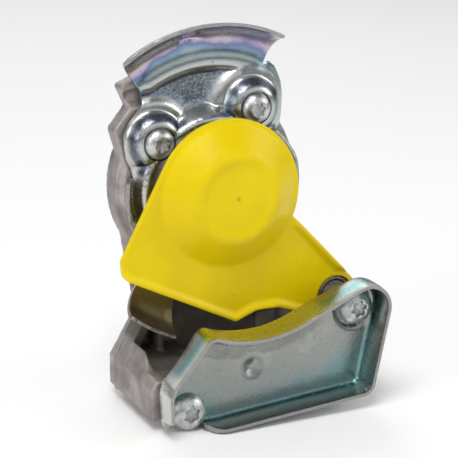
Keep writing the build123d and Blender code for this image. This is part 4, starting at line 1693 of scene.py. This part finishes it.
@dataclass
class Studio:
    """Pale floor, soft lamps and the camera at the photograph's angle; half_floor and clip are in metres."""

    azimuth: float = -24.4
    elevation: float = 14.6
    distance: float = 500.0
    focal_px: float = 1650.0
    picture: int = 458
    aim: tuple[float, float, float] = (0.0, 6.2, 0.0)
    aim_px: Point = (217.6, 188.0)
    sensor: float = 36.0
    clip: Span = (0.01, 20.0)
    floor_z: float = -67.2
    half_floor: float = 3.0
    floor_grey: float = 0.93
    floor_rough: float = 0.9
    lamps: tuple[Lamp, ...] = (
        Lamp("key", (-0.35, -0.45, 1.05), 0.6, 9.0),
        Lamp("fill", (0.95, -0.45, 0.45), 0.5, 2.2),
        Lamp("left", (-1.0, -0.35, 0.35), 0.5, 2.0),
        Lamp("rear", (0.2, 0.9, 0.8), 0.7, 3.0),
    )
    sky: tuple[Span, ...] = (
        (0.0, 0.15), (0.15, 0.35), (0.28, 1.1), (0.5, 1.5), (0.64, 1.0), (0.78, 0.25), (1.0, 0.08)
    )
    sky_blue: float = 1.02
    sky_strength: float = 0.65

    def build(self) -> None:
        """Makes floor, lamps, world and camera."""
        self.floor()
        for lamp in self.lamps:
            lamp.build()
        self.world()
        self.camera()

    def camera(self) -> None:
        """Makes the camera fitted to the photograph."""
        turn, lift = math.radians(self.azimuth), math.radians(self.elevation)
        back = Vector((math.sin(turn) * math.cos(lift), -math.cos(turn) * math.cos(lift), math.sin(lift)))
        data = bpy.data.cameras.new("camera")
        data.sensor_width = self.sensor
        data.lens = self.focal_px / self.picture * self.sensor
        data.shift_x = (self.picture / 2 - self.aim_px[0]) / self.picture
        data.shift_y = -(self.picture / 2 - self.aim_px[1]) / self.picture
        data.clip_start, data.clip_end = self.clip
        camera = bpy.data.objects.new("camera", data)
        camera.location = (Vector(self.aim) + back * self.distance) * MM
        look_along(camera, -back)
        bpy.context.scene.collection.objects.link(camera)
        bpy.context.scene.camera = camera

    def floor(self) -> None:
        """Makes the wide pale floor."""
        mesh = bpy.data.meshes.new("floor")
        signs = ((-1, -1), (1, -1), (1, 1), (-1, 1))
        corners = [(x * self.half_floor, y * self.half_floor, self.floor_z * MM) for x, y in signs]
        mesh.from_pydata(corners, [], [(0, 1, 2, 3)])
        shader = Shader(bpy.data.materials.new("pale_floor"))
        grey = (*[self.floor_grey] * 3, 1.0)
        mesh.materials.append(shader.surface(Base_Color=grey, Roughness=self.floor_rough))
        floor = bpy.data.objects.new("floor", mesh)
        bpy.context.scene.collection.objects.link(floor)

    def world(self) -> None:
        """Makes even pale surroundings that are darker low down and overhead, for metal to show."""
        world = bpy.data.worlds.new("studio")
        shader = Shader(world, "Generated")
        levels = [(place, (level, level, level * self.sky_blue)) for place, level in self.sky]
        inputs = {"Color": shader.colours(shader.axis(2), levels), "Strength": self.sky_strength}
        glow = shader.node("ShaderNodeBackground", None, inputs)
        shader.add("ShaderNodeOutputWorld", None, {"Surface": glow})
        bpy.context.scene.world = world


def dress(node: bpy.types.Object, finish: bpy.types.Material) -> None:
    """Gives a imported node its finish.

    Args:
        node: The node.
        finish: Its material.
    """
    node.data.materials.clear()
    node.data.materials.append(finish)
    LOG.info("%s: dressed in %s", node.name, finish.name)


def build_screws() -> None:
    """Makes the two screws of the plate and the two larger ones of the claw."""
    screw = ScrewSteel().build()
    large = {"head_r": 5.6, "head_h": 3.6, "shank_r": 3.0, "socket_r": 2.25, "lobe": 0.4, "socket_depth": 1.8}
    left, right = EARS
    PanScrew("ear_screw_left", "plate_screw_left", left, 7.0, 14.0, screw, turn=0.2).build()
    PanScrew("ear_screw_right", "plate_screw_right", right, 7.0, 14.0, screw, turn=0.4).build()
    PanScrew("claw_fixing_screw", "claw_screw", CLAW_SCREW, -14.8, 16.0, screw, turn=0.1, **large).build()
    PanScrew("lid_pivot_screw", "pivot_screw", PIVOT, -14.6, 32.0, screw, turn=0.3, **large).build()


def main() -> None:
    """Builds the pieces in order and reports each."""
    logging.basicConfig(level=logging.INFO)
    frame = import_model()
    nodes = frame["nodes"]
    GuidePlate(PlatedSheet("plated_sheet").build()).build()
    # The tongue's yellow film is painted reflection of the lid's underside.
    GuidePlate(PlatedSheet("plated_tongue", rough=0.3, stops=LID_REFLECTION_FILM).build()).build_tongue()
    claw_sheet = PlatedSheet(
        "plated_claw", phase=0.4, cloud=0.45, zone=(50.0, 66.0), zone_phase=0.42, zone_cloud=0.0,
        depth_phase=-0.09, rough=0.19, stops=GREEN_FILM,
    )
    LowerClaw(claw_sheet.build()).build()
    Lid(YellowPlastic().build()).build()
    Housing(nodes["housing"], CastAluminium().build()).build()
    build_screws()
    plain = {
        "sealing_ring": PlainFinish("black_rubber", (0.02, 0.02, 0.02), (0.04, 0.04, 0.04), 0.0, 0.6),
        "pivot_bush": PlainFinish("bush", (0.09, 0.08, 0.06), (0.20, 0.17, 0.13), 0.3, 0.5),
        "pivot_washer": PlainFinish("washer", (0.30, 0.34, 0.32), (0.46, 0.49, 0.46), 1.0, 0.3),
        "lid_spring": PlainFinish("spring_steel", (0.14, 0.14, 0.15), (0.34, 0.34, 0.35), 1.0, 0.3),
    }
    for name, finish in plain.items():
        dress(nodes[name], finish.build())
    Studio().build()
    bpy.context.scene.view_settings.view_transform = "Standard"


if __name__ == "__main__":
    main()
